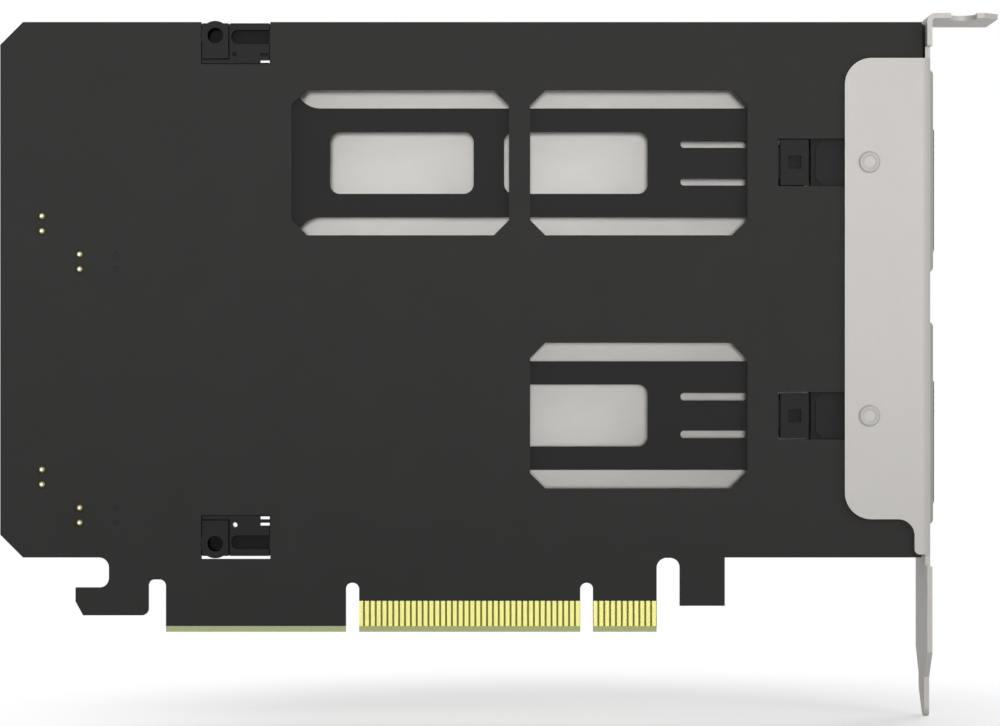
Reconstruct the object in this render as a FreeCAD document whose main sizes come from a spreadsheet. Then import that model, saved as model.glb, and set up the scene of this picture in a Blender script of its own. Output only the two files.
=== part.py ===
import FreeCAD, Part

import os
import re

import Sketcher

"""A single-slot adapter card for two removable NVMe drives.

Frame: +X along the card towards its slot bracket, +Z up from the card edge,
+Y from the solder side towards the component side. The origin is on the
bottom of the card edge, at the middle of the key notch and of the board's
thickness. Millimetres throughout.
"""

SIZES = {
    # Circuit board
    "board_rear": 100.1, "board_front": 57.2, "board_top": 104.1, "board_thick": 1.57,
    "shoulder_rise": 12.7, "board_corner_cut": 3.9,
    "hook_neck_rear": 81.54, "hook_upper_edge": 7.54, "hook_lower_edge": 2.83,
    "hook_tip_reach": 87.25, "hook_front_reach": 74.83, "hook_cut_width": 1.3,
    "hook_cut_rise": 2.37, "hook_round": 1.7,
    "bare_rear": 71.81, "bare_front": 41.11, "rear_notch_top": 8.94,
    "middle_notch_width": 2.28, "key_width": 2.2, "key_top": 8.38,
    "short_row_front": 11.95, "front_notch_width": 3.96, "front_notch_top": 12.63,
    "edge_tab_length": 7.67, "edge_tab_low": 4.45,
    "bevel_rise": 1.0, "bevel_depth": 0.35, "notch_corner": 1.08, "corner_share": 0.5858,
    # Edge contacts
    "contact_pitch": 1.0, "contact_width": 0.65, "contact_first": 1.5,
    "contact_top": 5.3, "contact_thick": 0.05,
    # Board windows, one pair for the upper bay and one for the lower
    "upper_bay_rise": 80.15, "bay_pitch": 43.25,
    "window_length": 37.1, "window_height": 24.9, "window_corner_cut": 2.6,
    "window_bar": 3.6, "window_front": 27.45,
    "latch_window_rear": 32.7, "latch_window_front": 45.2, "latch_window_height": 8.1,
    # Notch in the board's top edge and window near its foot, for the cage's feet
    "foot_notch_rear": 65.8, "foot_notch_front": 54.0, "foot_notch_depth": 7.2,
    "foot_window_low": 12.4, "foot_window_high": 19.97,
    # Slot bracket
    "sheet_thick": 0.86, "bracket_face": 58.7, "bracket_width": 18.42,
    "bracket_overhang": 2.9, "bracket_top": 105.4, "bracket_height": 120.02,
    "bend_radius": 0.5, "tab_reach": 11.43, "tab_notch_width": 4.4,
    "tab_notch_depth": 5.3, "tab_notch_start": 3.2, "tab_corner_cut": 2.6,
    "tongue_shoulder_drop": 3.3, "tongue_neck_drop": 7.8, "tongue_near_step": 4.9,
    "tongue_far_step": 4.6, "tongue_tip_width": 3.4, "tongue_waist_drop": 10.2,
    "tongue_tip_round": 1.5,
    "flange_rear": 44.02, "flange_high": 97.9, "flange_low": 19.27,
    "flange_corner": 4.5, "flange_strip_width": 2.8, "flange_strip_low": 13.27,
    "flange_strip_round": 0.9, "bend_relief": 2.0,
    # Flange rivets
    "rivet_station": 48.2, "rivet_radius": 1.5, "rivet_head_radius": 1.85,
    "rivet_head_rise": 0.45, "rivet_dimple_radius": 1.0, "rivet_dimple_depth": 0.25,
    "rivet_foot_thick": 0.5,
    # Drive cage
    "floor_thick": 1.4, "bay_depth": 9.8, "bay_width": 30.2, "cage_rear": 53.6,
    "cage_wall": 1.6, "cage_edge_gap": 0.2, "cage_foot_gap": 0.25, "fit_gap": 0.2,
    "bar_width": 18.6, "side_opening_reach": 28.0, "side_opening_rear": 49.8,
    "side_opening_front": 30.0, "side_opening_round": 4.3,
    "centre_opening_length": 24.6, "centre_opening_height": 10.6,
    "centre_opening_round": 1.7, "centre_opening_rear": 43.9,
    "centre_opening_gap": 5.2,
    "finger_root": 16.1, "finger_width": 5.15, "finger_slot": 1.3,
    "finger_head_rear": 33.1, "finger_head_length": 4.8, "finger_end_gap": 0.5,
    "finger_head_pit": 2.3, "finger_pit_depth": 1.5, "finger_head_sink": 0.15,
    "floor_boss_rear": 39.2, "floor_boss_front": 44.8, "floor_boss_height": 7.7,
    "floor_boss_rise": 0.5, "floor_boss_cut": 1.2,
    "cell_end_wall": 5.2, "cell_rib": 4.0,
    # Corner feet of the cage
    "post_rear": 65.6, "post_length": 4.4, "post_height": 6.0, "foot_height": 6.85,
    "post_hole_radius": 1.35, "post_hole_inset": 2.1, "post_boss_radius": 2.5,
    "post_web": 1.0, "foot_lap": 0.9,
    "post_groove": 0.35, "foot_depth": 2.5, "foot_sink": 0.1,
    "channel_inset": 1.15, "channel_height": 2.45, "channel_depth": 2.0,
    "foot_slot_length": 1.6, "foot_slot_height": 0.55, "foot_slot_pitch": 1.08,
    "foot_slot_inset": 5.93, "foot_pinhole_radius": 0.42, "foot_pinhole_inset": 5.3,
    "foot_pinhole_offset": 1.15,
    # Cage cover
    "cover_thick": 0.8, "cover_margin": 0.5, "cover_corner": 1.5,
    "vent_length": 11.0, "vent_width": 2.4, "vent_pitch": 5.2, "vent_rear": 40.0,
    # Cage screws
    "screw_radius": 0.85, "screw_play": 0.03, "screw_length": 6.0,
    "screw_tip_room": 0.5,
    "screw_head_radius": 2.0, "screw_head_rise": 1.1, "screw_hole_play": 0.2,
    "screw_rear_station": 51.0, "screw_front_inset": 4.1, "screw_edge": 2.6,
    # Drive sockets
    "socket_mouth": 54.3, "socket_length": 8.2, "socket_width": 22.0,
    "socket_height": 8.4, "socket_slot_width": 20.1, "socket_slot_height": 0.95,
    "socket_slot_depth": 4.4, "socket_slot_rise": 6.35, "socket_key_width": 1.2,
    "socket_key_offset": 6.1,
    # Headers at the rear end
    "pin_pitch": 2.54, "pin_half": 0.3, "pin_hole_radius": 0.45, "pin_tail": 0.8,
    "led_header_station": 92.98, "led_header_drop": 10.44, "led_header_width": 2.5,
    "led_header_rise": 2.5, "led_pin_rise": 8.2,
    "aux_station": 86.54, "aux_drop": 16.96, "aux_width": 7.6, "aux_length": 9.4,
    "aux_rise": 5.8, "aux_wall": 0.9, "aux_floor": 1.4, "aux_pin_inset": 1.9,
    "peg_station": 80.3, "peg_radius": 0.45, "aux_pin_rise": 4.6,
    # Power parts and chips at the rear end
    "choke_station": 91.0, "choke_side": 6.6, "choke_rise": 3.0, "choke_cut": 1.0,
    "power_row_rise": 6.5, "chip_station": 81.5, "chip_side": 5.0, "chip_rise": 0.9,
    "clock_station": 74.0, "clock_side": 7.0, "capacitor_station": 72.5,
    "capacitor_long": 3.2, "capacitor_wide": 1.6, "capacitor_rise": 1.5,
    "capacitor_pitch": 3.0,
    # Drive trays
    "tray_floor_gap": 0.3, "tray_side_gap": 0.2, "tray_rear": 50.0, "tray_front_end": 50.4,
    "rail_wall": 1.5, "tray_plate_thick": 1.2, "tray_plate_gap": 0.77,
    "tray_lead_in": 1.5,
    "front_rear_end": 38.6, "front_arm_width": 2.7, "front_shoulder": 51.3,
    "front_web": 2.2, "bezel_height": 34.9, "bezel_drop": 1.3, "bezel_proud": 0.8,
    "bezel_gap": 0.3, "bezel_round": 1.0,
    "lever_width": 5.6, "lever_play": 0.2, "lever_thick": 3.3, "lever_proud": 1.15,
    "lever_tip_rise": 7.6, "hinge_drop": 13.2, "hinge_pin_radius": 0.75,
    "hinge_play": 0.05, "pin_inset": 0.6, "finger_scoop": 2.4, "lever_lip": 0.8,
    "vent_slot_height": 1.1, "vent_slot_pitch": 2.1, "vent_slot_length": 5.6,
    "vent_slot_inset": 1.5,
    "lens_width": 3.0, "lens_height": 0.9, "lens_length": 4.0, "lens_inset": 1.1,
    "tray_screw_radius": 0.7, "tray_screw_length": 4.2, "tray_screw_head": 1.6,
    "tray_screw_station": 45.5, "tray_screw_head_rise": 0.5,
    "drive_length": 80.0, "drive_insertion": 4.2, "standoff_radius": 2.3,
    "standoff_rise": 2.5, "standoff_bore": 0.8, "hexagon_share": 0.866,
}

CONTACTS_SHORT_ROW = 11
CONTACTS_LONG_ROW = 38
CELLS_PER_FLANK = 4
VENTS_PER_BAY = 14
VENT_SLOTS = 3
CAPACITORS_PER_BAY = 4
NEAR = 1e-4

# Levels and stations that several pieces share, as formulas of the sizes
PLACES = {
    "board_back": "-board_thick / 2",
    "board_face": "board_thick / 2",
    "lower_bay_rise": "upper_bay_rise - bay_pitch",
    "plate_inner": "bracket_face - sheet_thick",
    "bracket_near": "board_back - bracket_overhang",
    "bracket_far": "bracket_near + bracket_width",
    "tongue_tip": "bracket_top - bracket_height",
    "long_row_start": "bare_front - middle_notch_width",
    "floor_face": "board_face + floor_thick",
    "cage_far": "floor_face + bay_depth",
    "cage_front": "plate_inner - fit_gap",
    "cage_low": "shoulder_rise + cage_foot_gap",
    "cage_high": "board_top - cage_edge_gap",
    "half_bay": "bay_width / 2",
    "tray_near": "floor_face + tray_floor_gap",
    "tray_far": "cage_far - tray_plate_gap",
    "tray_plate_near": "tray_far - tray_plate_thick",
    "half_tray": "half_bay - tray_side_gap",
    "bezel_front": "bracket_face + bezel_proud",
    "bezel_high": "bezel_height / 2 - bezel_drop",
    "bezel_low": "-bezel_height / 2 - bezel_drop",
    "lever_middle": "(tray_near + tray_far) / 2",
    "lever_front": "bracket_face + lever_proud",
    "hinge_station": "lever_front - lever_thick / 2",
    "hinge_rise": "-hinge_drop - bezel_drop",
    "lever_tip": "lever_tip_rise - bezel_drop",
    "cell_front": "front_shoulder - fit_gap - cage_wall",
    "cell_rear": "cell_end_wall - cage_rear",
}

BAYS = {"upper": "upper_bay_rise", "lower": "lower_bay_rise"}
FEET = (("cage_high", "-"), ("cage_low", "+"))
AXIS_NUMBERS = {"XY": (0, 1, 2), "XZ": (0, 2, 1), "YZ": (1, 2, 0)}

DOC = FreeCAD.newDocument("AdapterCard")
SHEET = DOC.addObject("Spreadsheet::Sheet", "Size")
for row, (alias, size) in enumerate(SIZES.items(), 1):
    SHEET.set(f"A{row}", alias)
    SHEET.set(f"B{row}", str(size))
    SHEET.setAlias(f"B{row}", alias)
DOC.recompute()


def linked(formula):
    """A formula with each size and shared place written as the sheet's cells."""
    def cell(match):
        word = match.group()
        if word in PLACES:
            return "(" + linked(PLACES[word]) + ")"
        return "Size." + word if word in SIZES else word
    return re.sub(r"[a-z_][a-z0-9_]*", cell, str(formula))


def worth(formula):
    """The number that a formula of the sizes comes to."""
    return float(SHEET.evalExpression(linked(formula)))


def rectangle(low_a, high_a, low_b, high_b):
    """The four corners of an upright rectangle, as formulas."""
    return [(low_a, low_b), (high_a, low_b), (high_a, high_b), (low_a, high_b)]


def cut_rectangle(low_a, high_a, low_b, high_b, cut):
    """A rectangle with its four corners cut off at 45 degrees."""
    return [
        (f"{low_a} + {cut}", low_b), (f"{high_a} - {cut}", low_b),
        (high_a, f"{low_b} + {cut}"), (high_a, f"{high_b} - {cut}"),
        (f"{high_a} - {cut}", high_b), (f"{low_a} + {cut}", high_b),
        (low_a, f"{high_b} - {cut}"), (low_a, f"{low_b} + {cut}"),
    ]


def small_round(centre_a, centre_b, radius):
    """Eight sides about a centre, for round holes and pins too small to show more."""
    return cut_rectangle(
        f"{centre_a} - {radius}", f"{centre_a} + {radius}",
        f"{centre_b} - {radius}", f"{centre_b} + {radius}", f"({radius}) * corner_share")


def square(centre_a, centre_b, half):
    """The outline of a square about a centre."""
    return rectangle(f"{centre_a} - {half}", f"{centre_a} + {half}",
                     f"{centre_b} - {half}", f"{centre_b} + {half}")


class Circle:
    """A round outline in a sketch, given by formulas."""

    def __init__(self, centre_a, centre_b, radius):
        self.centre = (centre_a, centre_b)
        self.radius = radius


class Piece:
    """One body of the card, with the steps that shape it."""

    def __init__(self, label, solids=1):
        self.body = DOC.addObject("PartDesign::Body", label)
        self.body.Label = label
        self.body.AllowCompound = solids > 1
        self.solids = solids

    def origin_part(self, role):
        return next(part for part in self.body.Origin.OriginFeatures if part.Role == role)

    def sketch(self, plane, level, outlines):
        """A sketch on the plane at a level, each point tied to its formulas."""
        sketch = self.body.newObject("Sketcher::SketchObject", "Sketch")
        sketch.AttachmentSupport = [(self.origin_part(plane + "_Plane"), "")]
        sketch.MapMode = "FlatFace"
        facing = "-" if plane == "XZ" else ""
        sketch.setExpression("AttachmentOffset.Base.z", linked(f"{facing}({level})"))
        for outline in outlines:
            if isinstance(outline, Circle):
                self.draw_circle(sketch, outline)
            else:
                self.draw_polygon(sketch, outline)
        return sketch

    def draw_circle(self, sketch, circle):
        centre = FreeCAD.Vector(worth(circle.centre[0]), worth(circle.centre[1]), 0)
        shape = Part.Circle(centre, FreeCAD.Vector(0, 0, 1), worth(circle.radius))
        index = sketch.addGeometry(shape)
        ties = [
            ("DistanceX", (-1, 1, index, 3), circle.centre[0]),
            ("DistanceY", (-1, 1, index, 3), circle.centre[1]),
            ("Radius", (index,), circle.radius),
        ]
        self.tie(sketch, ties)

    def draw_polygon(self, sketch, corners):
        points = [FreeCAD.Vector(worth(a), worth(b), 0) for a, b in corners]
        following = points[1:] + points[:1]
        first = sketch.addGeometry([Part.LineSegment(p, q) for p, q in zip(points, following)])[0]
        last = first + len(points) - 1
        joints = []
        for index in range(first, last + 1):
            after = first if index == last else index + 1
            joints.append(Sketcher.Constraint("Coincident", index, 2, after, 1))
        sketch.addConstraint(joints)
        ties = []
        for index, (a, b) in enumerate(corners, first):
            ties.append(("DistanceX", (-1, 1, index, 1), a))
            ties.append(("DistanceY", (-1, 1, index, 1), b))
        self.tie(sketch, ties)

    def tie(self, sketch, ties):
        """Dimensions on a sketch, each one bound to its formula."""
        limits = [Sketcher.Constraint(kind, *ends, worth(formula)) for kind, ends, formula in ties]
        numbers = sketch.addConstraint(limits)
        for number, (_, _, formula) in zip(numbers, ties):
            sketch.setExpression(f"Constraints[{number}]", linked(formula))

    def pad(self, plane, level, length, *outlines):
        """Material from the plane's level on, along the world axis across it."""
        pad = self.body.newObject("PartDesign::Pad", "Pad")
        pad.Profile = self.sketch(plane, level, outlines)
        pad.Reversed = plane == "XZ"
        pad.setExpression("Length", linked(length))
        return self.settle(pad, grows=True)

    def pocket(self, plane, level, length, *outlines):
        """A cut from the plane's level on, along the world axis across it."""
        pocket = self.body.newObject("PartDesign::Pocket", "Pocket")
        pocket.Profile = self.sketch(plane, level, outlines)
        pocket.Reversed = plane != "XZ"
        pocket.setExpression("Length", linked(length))
        return self.settle(pocket, grows=False)

    def revolve(self, plane, level, corners, turn_axis):
        """A turned form, from a half outline that lies beside its axis line."""
        turn = self.body.newObject("PartDesign::Revolution", "Revolution")
        sketch = self.sketch(plane, level, [corners])
        ends = [FreeCAD.Vector(worth(a), worth(b), 0) for a, b in turn_axis]
        line = sketch.addGeometry(Part.LineSegment(*ends), True)
        ties = []
        for end, (a, b) in enumerate(turn_axis, 1):
            ties.append(("DistanceX", (-1, 1, line, end), a))
            ties.append(("DistanceY", (-1, 1, line, end), b))
        self.tie(sketch, ties)
        turn.Profile = sketch
        turn.ReferenceAxis = (sketch, ["Axis0"])
        turn.Angle = 360
        return self.settle(turn, grows=True)

    def round_corners(self, plane, corners, radius):
        """A fillet along the edges that stand on the named corners of a plane."""
        return self.dress("PartDesign::Fillet", "Radius", plane, corners, radius)

    def cut_corners(self, plane, corners, size):
        """A chamfer along the edges that stand on the named corners of a plane."""
        return self.dress("PartDesign::Chamfer", "Size", plane, corners, size)

    def dress(self, kind, quantity, plane, corners, size):
        base = self.body.Tip
        edges = self.edges_on(plane, corners)
        feature = self.body.newObject(kind, kind.split("::")[1])
        feature.Base = (base, edges)
        feature.setExpression(quantity, linked(size))
        return self.settle(feature)

    def edges_on(self, plane, corners):
        first, second, across = AXIS_NUMBERS[plane]
        wanted = [(worth(a), worth(b)) for a, b in corners]
        found = []
        for number, edge in enumerate(self.body.Tip.Shape.Edges, 1):
            ends = [vertex.Point for vertex in edge.Vertexes]
            if len(ends) != 2 or edge.Curve.TypeId != "Part::GeomLine":
                continue
            start, end = ends
            if abs(start[first] - end[first]) > NEAR or abs(start[second] - end[second]) > NEAR:
                continue
            if abs(start[across] - end[across]) < NEAR:
                continue
            if any(abs(start[first] - a) < NEAR and abs(start[second] - b) < NEAR for a, b in wanted):
                found.append(f"Edge{number}")
        if not found:
            raise RuntimeError(f"{self.body.Label}: no edge stands on the corners {corners}")
        return found

    def repeat(self, features, role, extent, count):
        """Copies of the features in a row along a world axis."""
        row = self.body.newObject("PartDesign::LinearPattern", "Row")
        row.Originals = features
        row.Direction = (self.origin_part(role), [""])
        row.Reversed = worth(extent) < 0
        row.setExpression("Length", linked(f"abs({extent})"))
        row.Occurrences = count
        self.body.Tip = row
        return self.settle(row)

    def settle(self, feature, grows=None):
        """The feature worked out, with its effect on the volume looked at."""
        base = getattr(feature, "BaseFeature", None)
        before = base.Shape.Volume if base else 0.0
        DOC.recompute()
        self.body.Tip = feature
        after = feature.Shape.Volume
        if grows is not None and (after > before) != grows:
            raise RuntimeError(f"{self.body.Label}: {feature.Name} changed {before} to {after}")
        return feature

    def place(self, rise):
        """The body moved up to the height that a formula gives."""
        self.body.setExpression("Placement.Base.z", linked(rise))


def card_edge_outline():
    """The board's outline, from the top rear corner down and round."""
    return [
        ("board_corner_cut - board_rear", "board_top"),
        ("-board_rear", "board_top - board_corner_cut"),
        ("-board_rear", "shoulder_rise + board_corner_cut"),
        ("board_corner_cut - board_rear", "shoulder_rise"),
        ("-hook_neck_rear", "shoulder_rise"),
        ("-hook_neck_rear", "hook_upper_edge"),
        ("-hook_tip_reach", "hook_upper_edge"),
        ("-hook_tip_reach", "hook_lower_edge + hook_cut_rise"),
        ("hook_cut_width - hook_tip_reach", "hook_lower_edge"),
        ("-hook_front_reach", "hook_lower_edge"),
        ("-hook_front_reach", "rear_notch_top"),
        ("-bare_rear", "rear_notch_top"),
        ("-bare_rear", "0"),
        ("-bare_front", "0"),
        ("-bare_front", "key_top"),
        ("-long_row_start", "key_top"),
        ("-long_row_start", "0"),
        ("-key_width / 2", "0"),
        ("-key_width / 2", "key_top"),
        ("key_width / 2", "key_top"),
        ("key_width / 2", "0"),
        ("short_row_front", "0"),
        ("short_row_front", "front_notch_top"),
        ("short_row_front + front_notch_width", "front_notch_top"),
        ("short_row_front + front_notch_width", "edge_tab_low"),
        ("short_row_front + front_notch_width + edge_tab_length", "edge_tab_low"),
        ("short_row_front + front_notch_width + edge_tab_length", "shoulder_rise"),
        ("board_front", "shoulder_rise"),
        ("board_front", "board_top"),
        ("-foot_notch_front", "board_top"),
        ("-foot_notch_front", "board_top - foot_notch_depth"),
        ("-foot_notch_rear", "board_top - foot_notch_depth"),
        ("-foot_notch_rear", "board_top"),
    ]


def window_outlines():
    """The see-through windows: two over the upper bay and one over the lower."""
    second_rear = "window_front - window_length"
    first_front = "window_front - window_length - window_bar"
    first_rear = "window_front - 2 * window_length - window_bar"
    outlines = []
    for rise, rear, front in (
        ("upper_bay_rise", first_rear, first_front),
        ("upper_bay_rise", second_rear, "window_front"),
        ("lower_bay_rise", second_rear, "window_front"),
    ):
        outlines.append(cut_rectangle(
            rear, front, f"{rise} - window_height / 2", f"{rise} + window_height / 2",
            "window_corner_cut"))
    return outlines


def board_holes(rise):
    """The holes for one bay's rivet, header pins and connector pegs."""
    holes = [small_round("rivet_station", rise, "(rivet_radius + screw_play)")]
    for side in ("-", "+"):
        led_rise = f"{rise} - led_header_drop {side} pin_pitch / 2"
        aux_rise = f"{rise} - aux_drop {side} pin_pitch / 2"
        holes.append(small_round("-led_header_station", led_rise, "pin_hole_radius"))
        holes.append(small_round("-aux_station", aux_rise, "pin_hole_radius"))
        holes.append(small_round("-peg_station", aux_rise, "(peg_radius + screw_play)"))
    return holes


def make_board():
    board = Piece("pcb")
    board.pad("XZ", "board_back", "board_thick", card_edge_outline())
    board.round_corners("XZ", [
        ("-hook_neck_rear", "shoulder_rise"), ("-hook_neck_rear", "hook_upper_edge")], "hook_round")
    board.round_corners("XZ", [
        ("-hook_front_reach", "rear_notch_top"), ("-bare_rear", "rear_notch_top"),
        ("-bare_front", "key_top"), ("-long_row_start", "key_top"),
        ("-key_width / 2", "key_top"), ("key_width / 2", "key_top"),
        ("-hook_front_reach", "hook_lower_edge")], "notch_corner")
    board.round_corners("XZ", [
        ("short_row_front", "front_notch_top"),
        ("short_row_front + front_notch_width", "front_notch_top")], "hook_round")
    reach = "bare_rear + short_row_front"
    for face, inward in (("board_back", "+"), ("board_face", "-")):
        board.pocket("YZ", "-bare_rear", reach, [
            (face, "0"), (f"{face} {inward} bevel_depth", "0"), (face, "bevel_rise")])
    openings = window_outlines()
    openings.append(rectangle(
        "-foot_notch_rear", "-foot_notch_front", "foot_window_low", "foot_window_high"))
    for rise in BAYS.values():
        openings.append(rectangle(
            "latch_window_rear", "latch_window_front",
            f"{rise} - latch_window_height / 2", f"{rise} + latch_window_height / 2"))
    board.pocket("XZ", "board_back", "board_thick", *openings)
    for rise in BAYS.values():
        board.pocket("XZ", "board_back", "board_thick", *board_holes(rise))
    return board


def make_contacts():
    """The plated contacts of both rows, on both faces of the card edge."""
    rows = (
        (1, CONTACTS_SHORT_ROW),
        (-1, CONTACTS_LONG_ROW),
    )
    count = 2 * (CONTACTS_SHORT_ROW + CONTACTS_LONG_ROW)
    contacts = Piece("edge_contacts", solids=count)
    for level in ("board_back - contact_thick", "board_face"):
        for sign, number in rows:
            middle = f"{sign} * contact_first"
            pad = contacts.pad("XZ", level, "contact_thick", rectangle(
                f"{middle} - contact_width / 2", f"{middle} + contact_width / 2",
                "bevel_rise", "contact_top"))
            contacts.repeat([pad], "X_Axis", f"{sign} * contact_pitch * {number - 1}", number)
    return contacts


def make_bracket():
    """The slot bracket, one folded sheet: plate, screw tab, tongue and flange."""
    bracket = Piece("bracket")
    near_neck = "bracket_near + tongue_near_step"
    far_neck = "bracket_far - tongue_far_step"
    tip_far = "bracket_near + tongue_near_step + tongue_tip_width"
    relief_high = "flange_high + bend_relief"
    relief_low = "flange_strip_low - bend_relief"
    fold_line = "board_back - sheet_thick"
    bracket.pad("YZ", "plate_inner", "sheet_thick", [
        ("bracket_near", "bracket_top"), ("bracket_near", relief_high),
        ("board_back + bend_radius", relief_high), ("board_back + bend_radius", "flange_high"),
        (fold_line, "flange_high"), (fold_line, "flange_strip_low"),
        ("board_back + bend_radius", "flange_strip_low"), ("board_back + bend_radius", relief_low),
        ("bracket_near", relief_low), ("bracket_near", "-tongue_shoulder_drop"),
        (near_neck, "-tongue_neck_drop"), (near_neck, "tongue_tip"),
        (tip_far, "tongue_tip"), (far_neck, "-tongue_waist_drop"),
        (far_neck, "-tongue_neck_drop"), ("bracket_far", "-tongue_shoulder_drop"),
        ("bracket_far", "bracket_top")])
    bracket.pad("XY", "bracket_top - sheet_thick", "sheet_thick", [
        ("plate_inner", "bracket_near"), ("bracket_face + tab_reach - tab_corner_cut", "bracket_near"),
        ("bracket_face + tab_reach", "bracket_near + tab_corner_cut"),
        ("bracket_face + tab_reach", "bracket_far"), ("plate_inner", "bracket_far")])
    bracket.pad("XZ", fold_line, "sheet_thick", [
        ("bracket_face", "flange_high"), ("flange_rear", "flange_high"),
        ("flange_rear", "flange_low"), ("bracket_face - flange_strip_width", "flange_low"),
        ("bracket_face - flange_strip_width", "flange_strip_low"),
        ("bracket_face", "flange_strip_low")])
    bracket.round_corners("XY", [("plate_inner", "board_back")], "bend_radius")
    bracket.round_corners("XY", [("bracket_face", fold_line)], "bend_radius + sheet_thick")
    bracket.round_corners("XZ", [("bracket_face", "bracket_top - sheet_thick")], "bend_radius")
    bracket.round_corners("XZ", [("plate_inner", "bracket_top")], "bend_radius + sheet_thick")
    bracket.round_corners("XZ", [
        ("flange_rear", "flange_high"), ("flange_rear", "flange_low")], "flange_corner")
    bracket.round_corners("XZ", [
        ("bracket_face - flange_strip_width", "flange_low")], "flange_strip_width")
    bracket.round_corners("XZ", [
        ("bracket_face - flange_strip_width", "flange_strip_low")], "flange_strip_round")
    bracket.round_corners("YZ", [(near_neck, "tongue_tip")], "tongue_tip_round")
    bracket.round_corners("YZ", [
        (tip_far, "tongue_tip"), (far_neck, "-tongue_waist_drop")], "tongue_tip_round * 2")
    notch_start = "bracket_face + tab_notch_start"
    notch_end = "bracket_face + tab_notch_start + tab_notch_width"
    notch_bottom = "bracket_near + tab_notch_depth"
    bracket.pocket("XY", "bracket_top - sheet_thick", "sheet_thick", rectangle(
        notch_start, notch_end, "bracket_near", notch_bottom))
    bracket.round_corners("XY", [
        (notch_start, notch_bottom), (notch_end, notch_bottom)], "tab_notch_width * 0.45")
    openings = []
    for rise in BAYS.values():
        openings.append(rectangle(
            "tray_near - bezel_gap", "tray_far + bezel_gap",
            f"{rise} + bezel_low - bezel_gap", f"{rise} + bezel_high + bezel_gap"))
    bracket.pocket("YZ", "plate_inner", "sheet_thick", *openings)
    holes = []
    for rise in BAYS.values():
        holes.append(small_round("rivet_station", rise, "(rivet_radius + screw_play)"))
    bracket.pocket("XZ", fold_line, "sheet_thick", *holes)
    return bracket


def make_rivets():
    """The rivets through flange, board and cage floor, each with a turned near head."""
    rivets = Piece("flange_rivets", solids=len(BAYS))
    seat = "board_back - sheet_thick"
    top = f"{seat} - rivet_head_rise"
    for rise in BAYS.values():
        rivets.revolve("XY", rise, [
            ("rivet_station", f"{top} + rivet_dimple_depth"),
            ("rivet_station + rivet_dimple_radius", f"{top} + rivet_dimple_depth"),
            ("rivet_station + rivet_dimple_radius + rivet_dimple_depth", top),
            ("rivet_station + rivet_head_radius - rivet_dimple_depth", top),
            ("rivet_station + rivet_head_radius", seat), ("rivet_station", seat),
        ], [("rivet_station", top), ("rivet_station", seat)])
        rivets.pad("XZ", seat, f"floor_face - ({seat})",
                   small_round("rivet_station", rise, "rivet_radius"))
        rivets.pad("XZ", "floor_face - rivet_foot_thick", "rivet_foot_thick",
                   small_round("rivet_station", rise, "rivet_head_radius"))
    return rivets


def centre_opening_rears():
    """Where the two openings along the middle of a bay's floor begin."""
    return ("-centre_opening_rear",
            "(centre_opening_length + centre_opening_gap - centre_opening_rear)")


def bay_openings(rise):
    """The openings in the cage floor under one bay, with its spring finger's slots."""
    outlines = []
    for rear in centre_opening_rears():
        outlines.append(rectangle(
            rear, f"{rear} + centre_opening_length",
            f"{rise} - centre_opening_height / 2", f"{rise} + centre_opening_height / 2"))
    for low, high in (("-side_opening_reach / 2", "-bar_width / 2"),
                      ("bar_width / 2", "side_opening_reach / 2")):
        outlines.append(rectangle(
            "-side_opening_rear", "side_opening_front", f"{rise} + {low}", f"{rise} + {high}"))
    return outlines


def finger_outline(rise):
    """The slot round the spring finger, open into a wider pocket at its head."""
    root = "finger_root"
    head_rear = "finger_head_rear"
    head_front = "finger_head_rear + finger_head_length"
    end = "finger_head_rear + finger_head_length + finger_end_gap"
    inner = "finger_width / 2"
    head = "(finger_width / 2 + finger_slot)"
    outer = "(finger_width / 2 + finger_slot + finger_end_gap)"
    step = "finger_head_rear - finger_end_gap"
    upper = [(root, head), (step, head), (step, outer), (end, outer)]
    lower = [(a, f"-{b}") for a, b in reversed(upper)]
    inside = [(root, f"-{inner}"), (head_rear, f"-{inner}"), (head_rear, f"-{head}"),
              (head_front, f"-{head}"), (head_front, head), (head_rear, head),
              (head_rear, inner), (root, inner)]
    return [(a, f"{rise} + {b}" if b[0] != "-" else f"{rise} {b}") for a, b in upper + lower + inside]


def finger_root_corners(rise):
    inner = "finger_width / 2"
    outer = "(finger_width / 2 + finger_slot)"
    return [("finger_root", f"{rise} {sign} {reach}") for sign in "+-" for reach in (inner, outer)]


def foot_band(foot, start, height):
    """The rises of a band across a corner foot, measured in from the cage's edge."""
    edge, inward = foot
    ends = [f"{edge} {inward} {start}", f"{edge} {inward} ({start} + {height})"]
    return ends if inward == "+" else ends[::-1]


def foot_groove(foot):
    """The L-shaped groove between a foot's post and its pad."""
    edge, inward = foot
    post_front = "post_length - post_rear"
    groove_front = f"{post_front} + post_groove"
    post_end = f"{edge} {inward} post_height"
    groove_end = f"{edge} {inward} (post_height + post_groove)"
    return [(groove_front, edge), (groove_front, groove_end), ("-post_rear", groove_end),
            ("-post_rear", post_end), (post_front, post_end), (post_front, edge)]


def foot_slots(foot):
    """The two slots through a foot's pad, the one nearer its outer edge first."""
    foot_front = "-foot_notch_front - fit_gap"
    slots = []
    for side in ("-", "+"):
        start = f"(foot_slot_inset {side} foot_slot_pitch / 2 - foot_slot_height / 2)"
        slots.append(rectangle(
            f"{foot_front} - foot_slot_length", foot_front,
            *foot_band(foot, start, "foot_slot_height")))
    return slots


def foot_pinhole(foot):
    edge, inward = foot
    return small_round(
        "post_length - post_rear + foot_pinhole_offset", f"{edge} {inward} foot_pinhole_inset",
        "foot_pinhole_radius")


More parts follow.
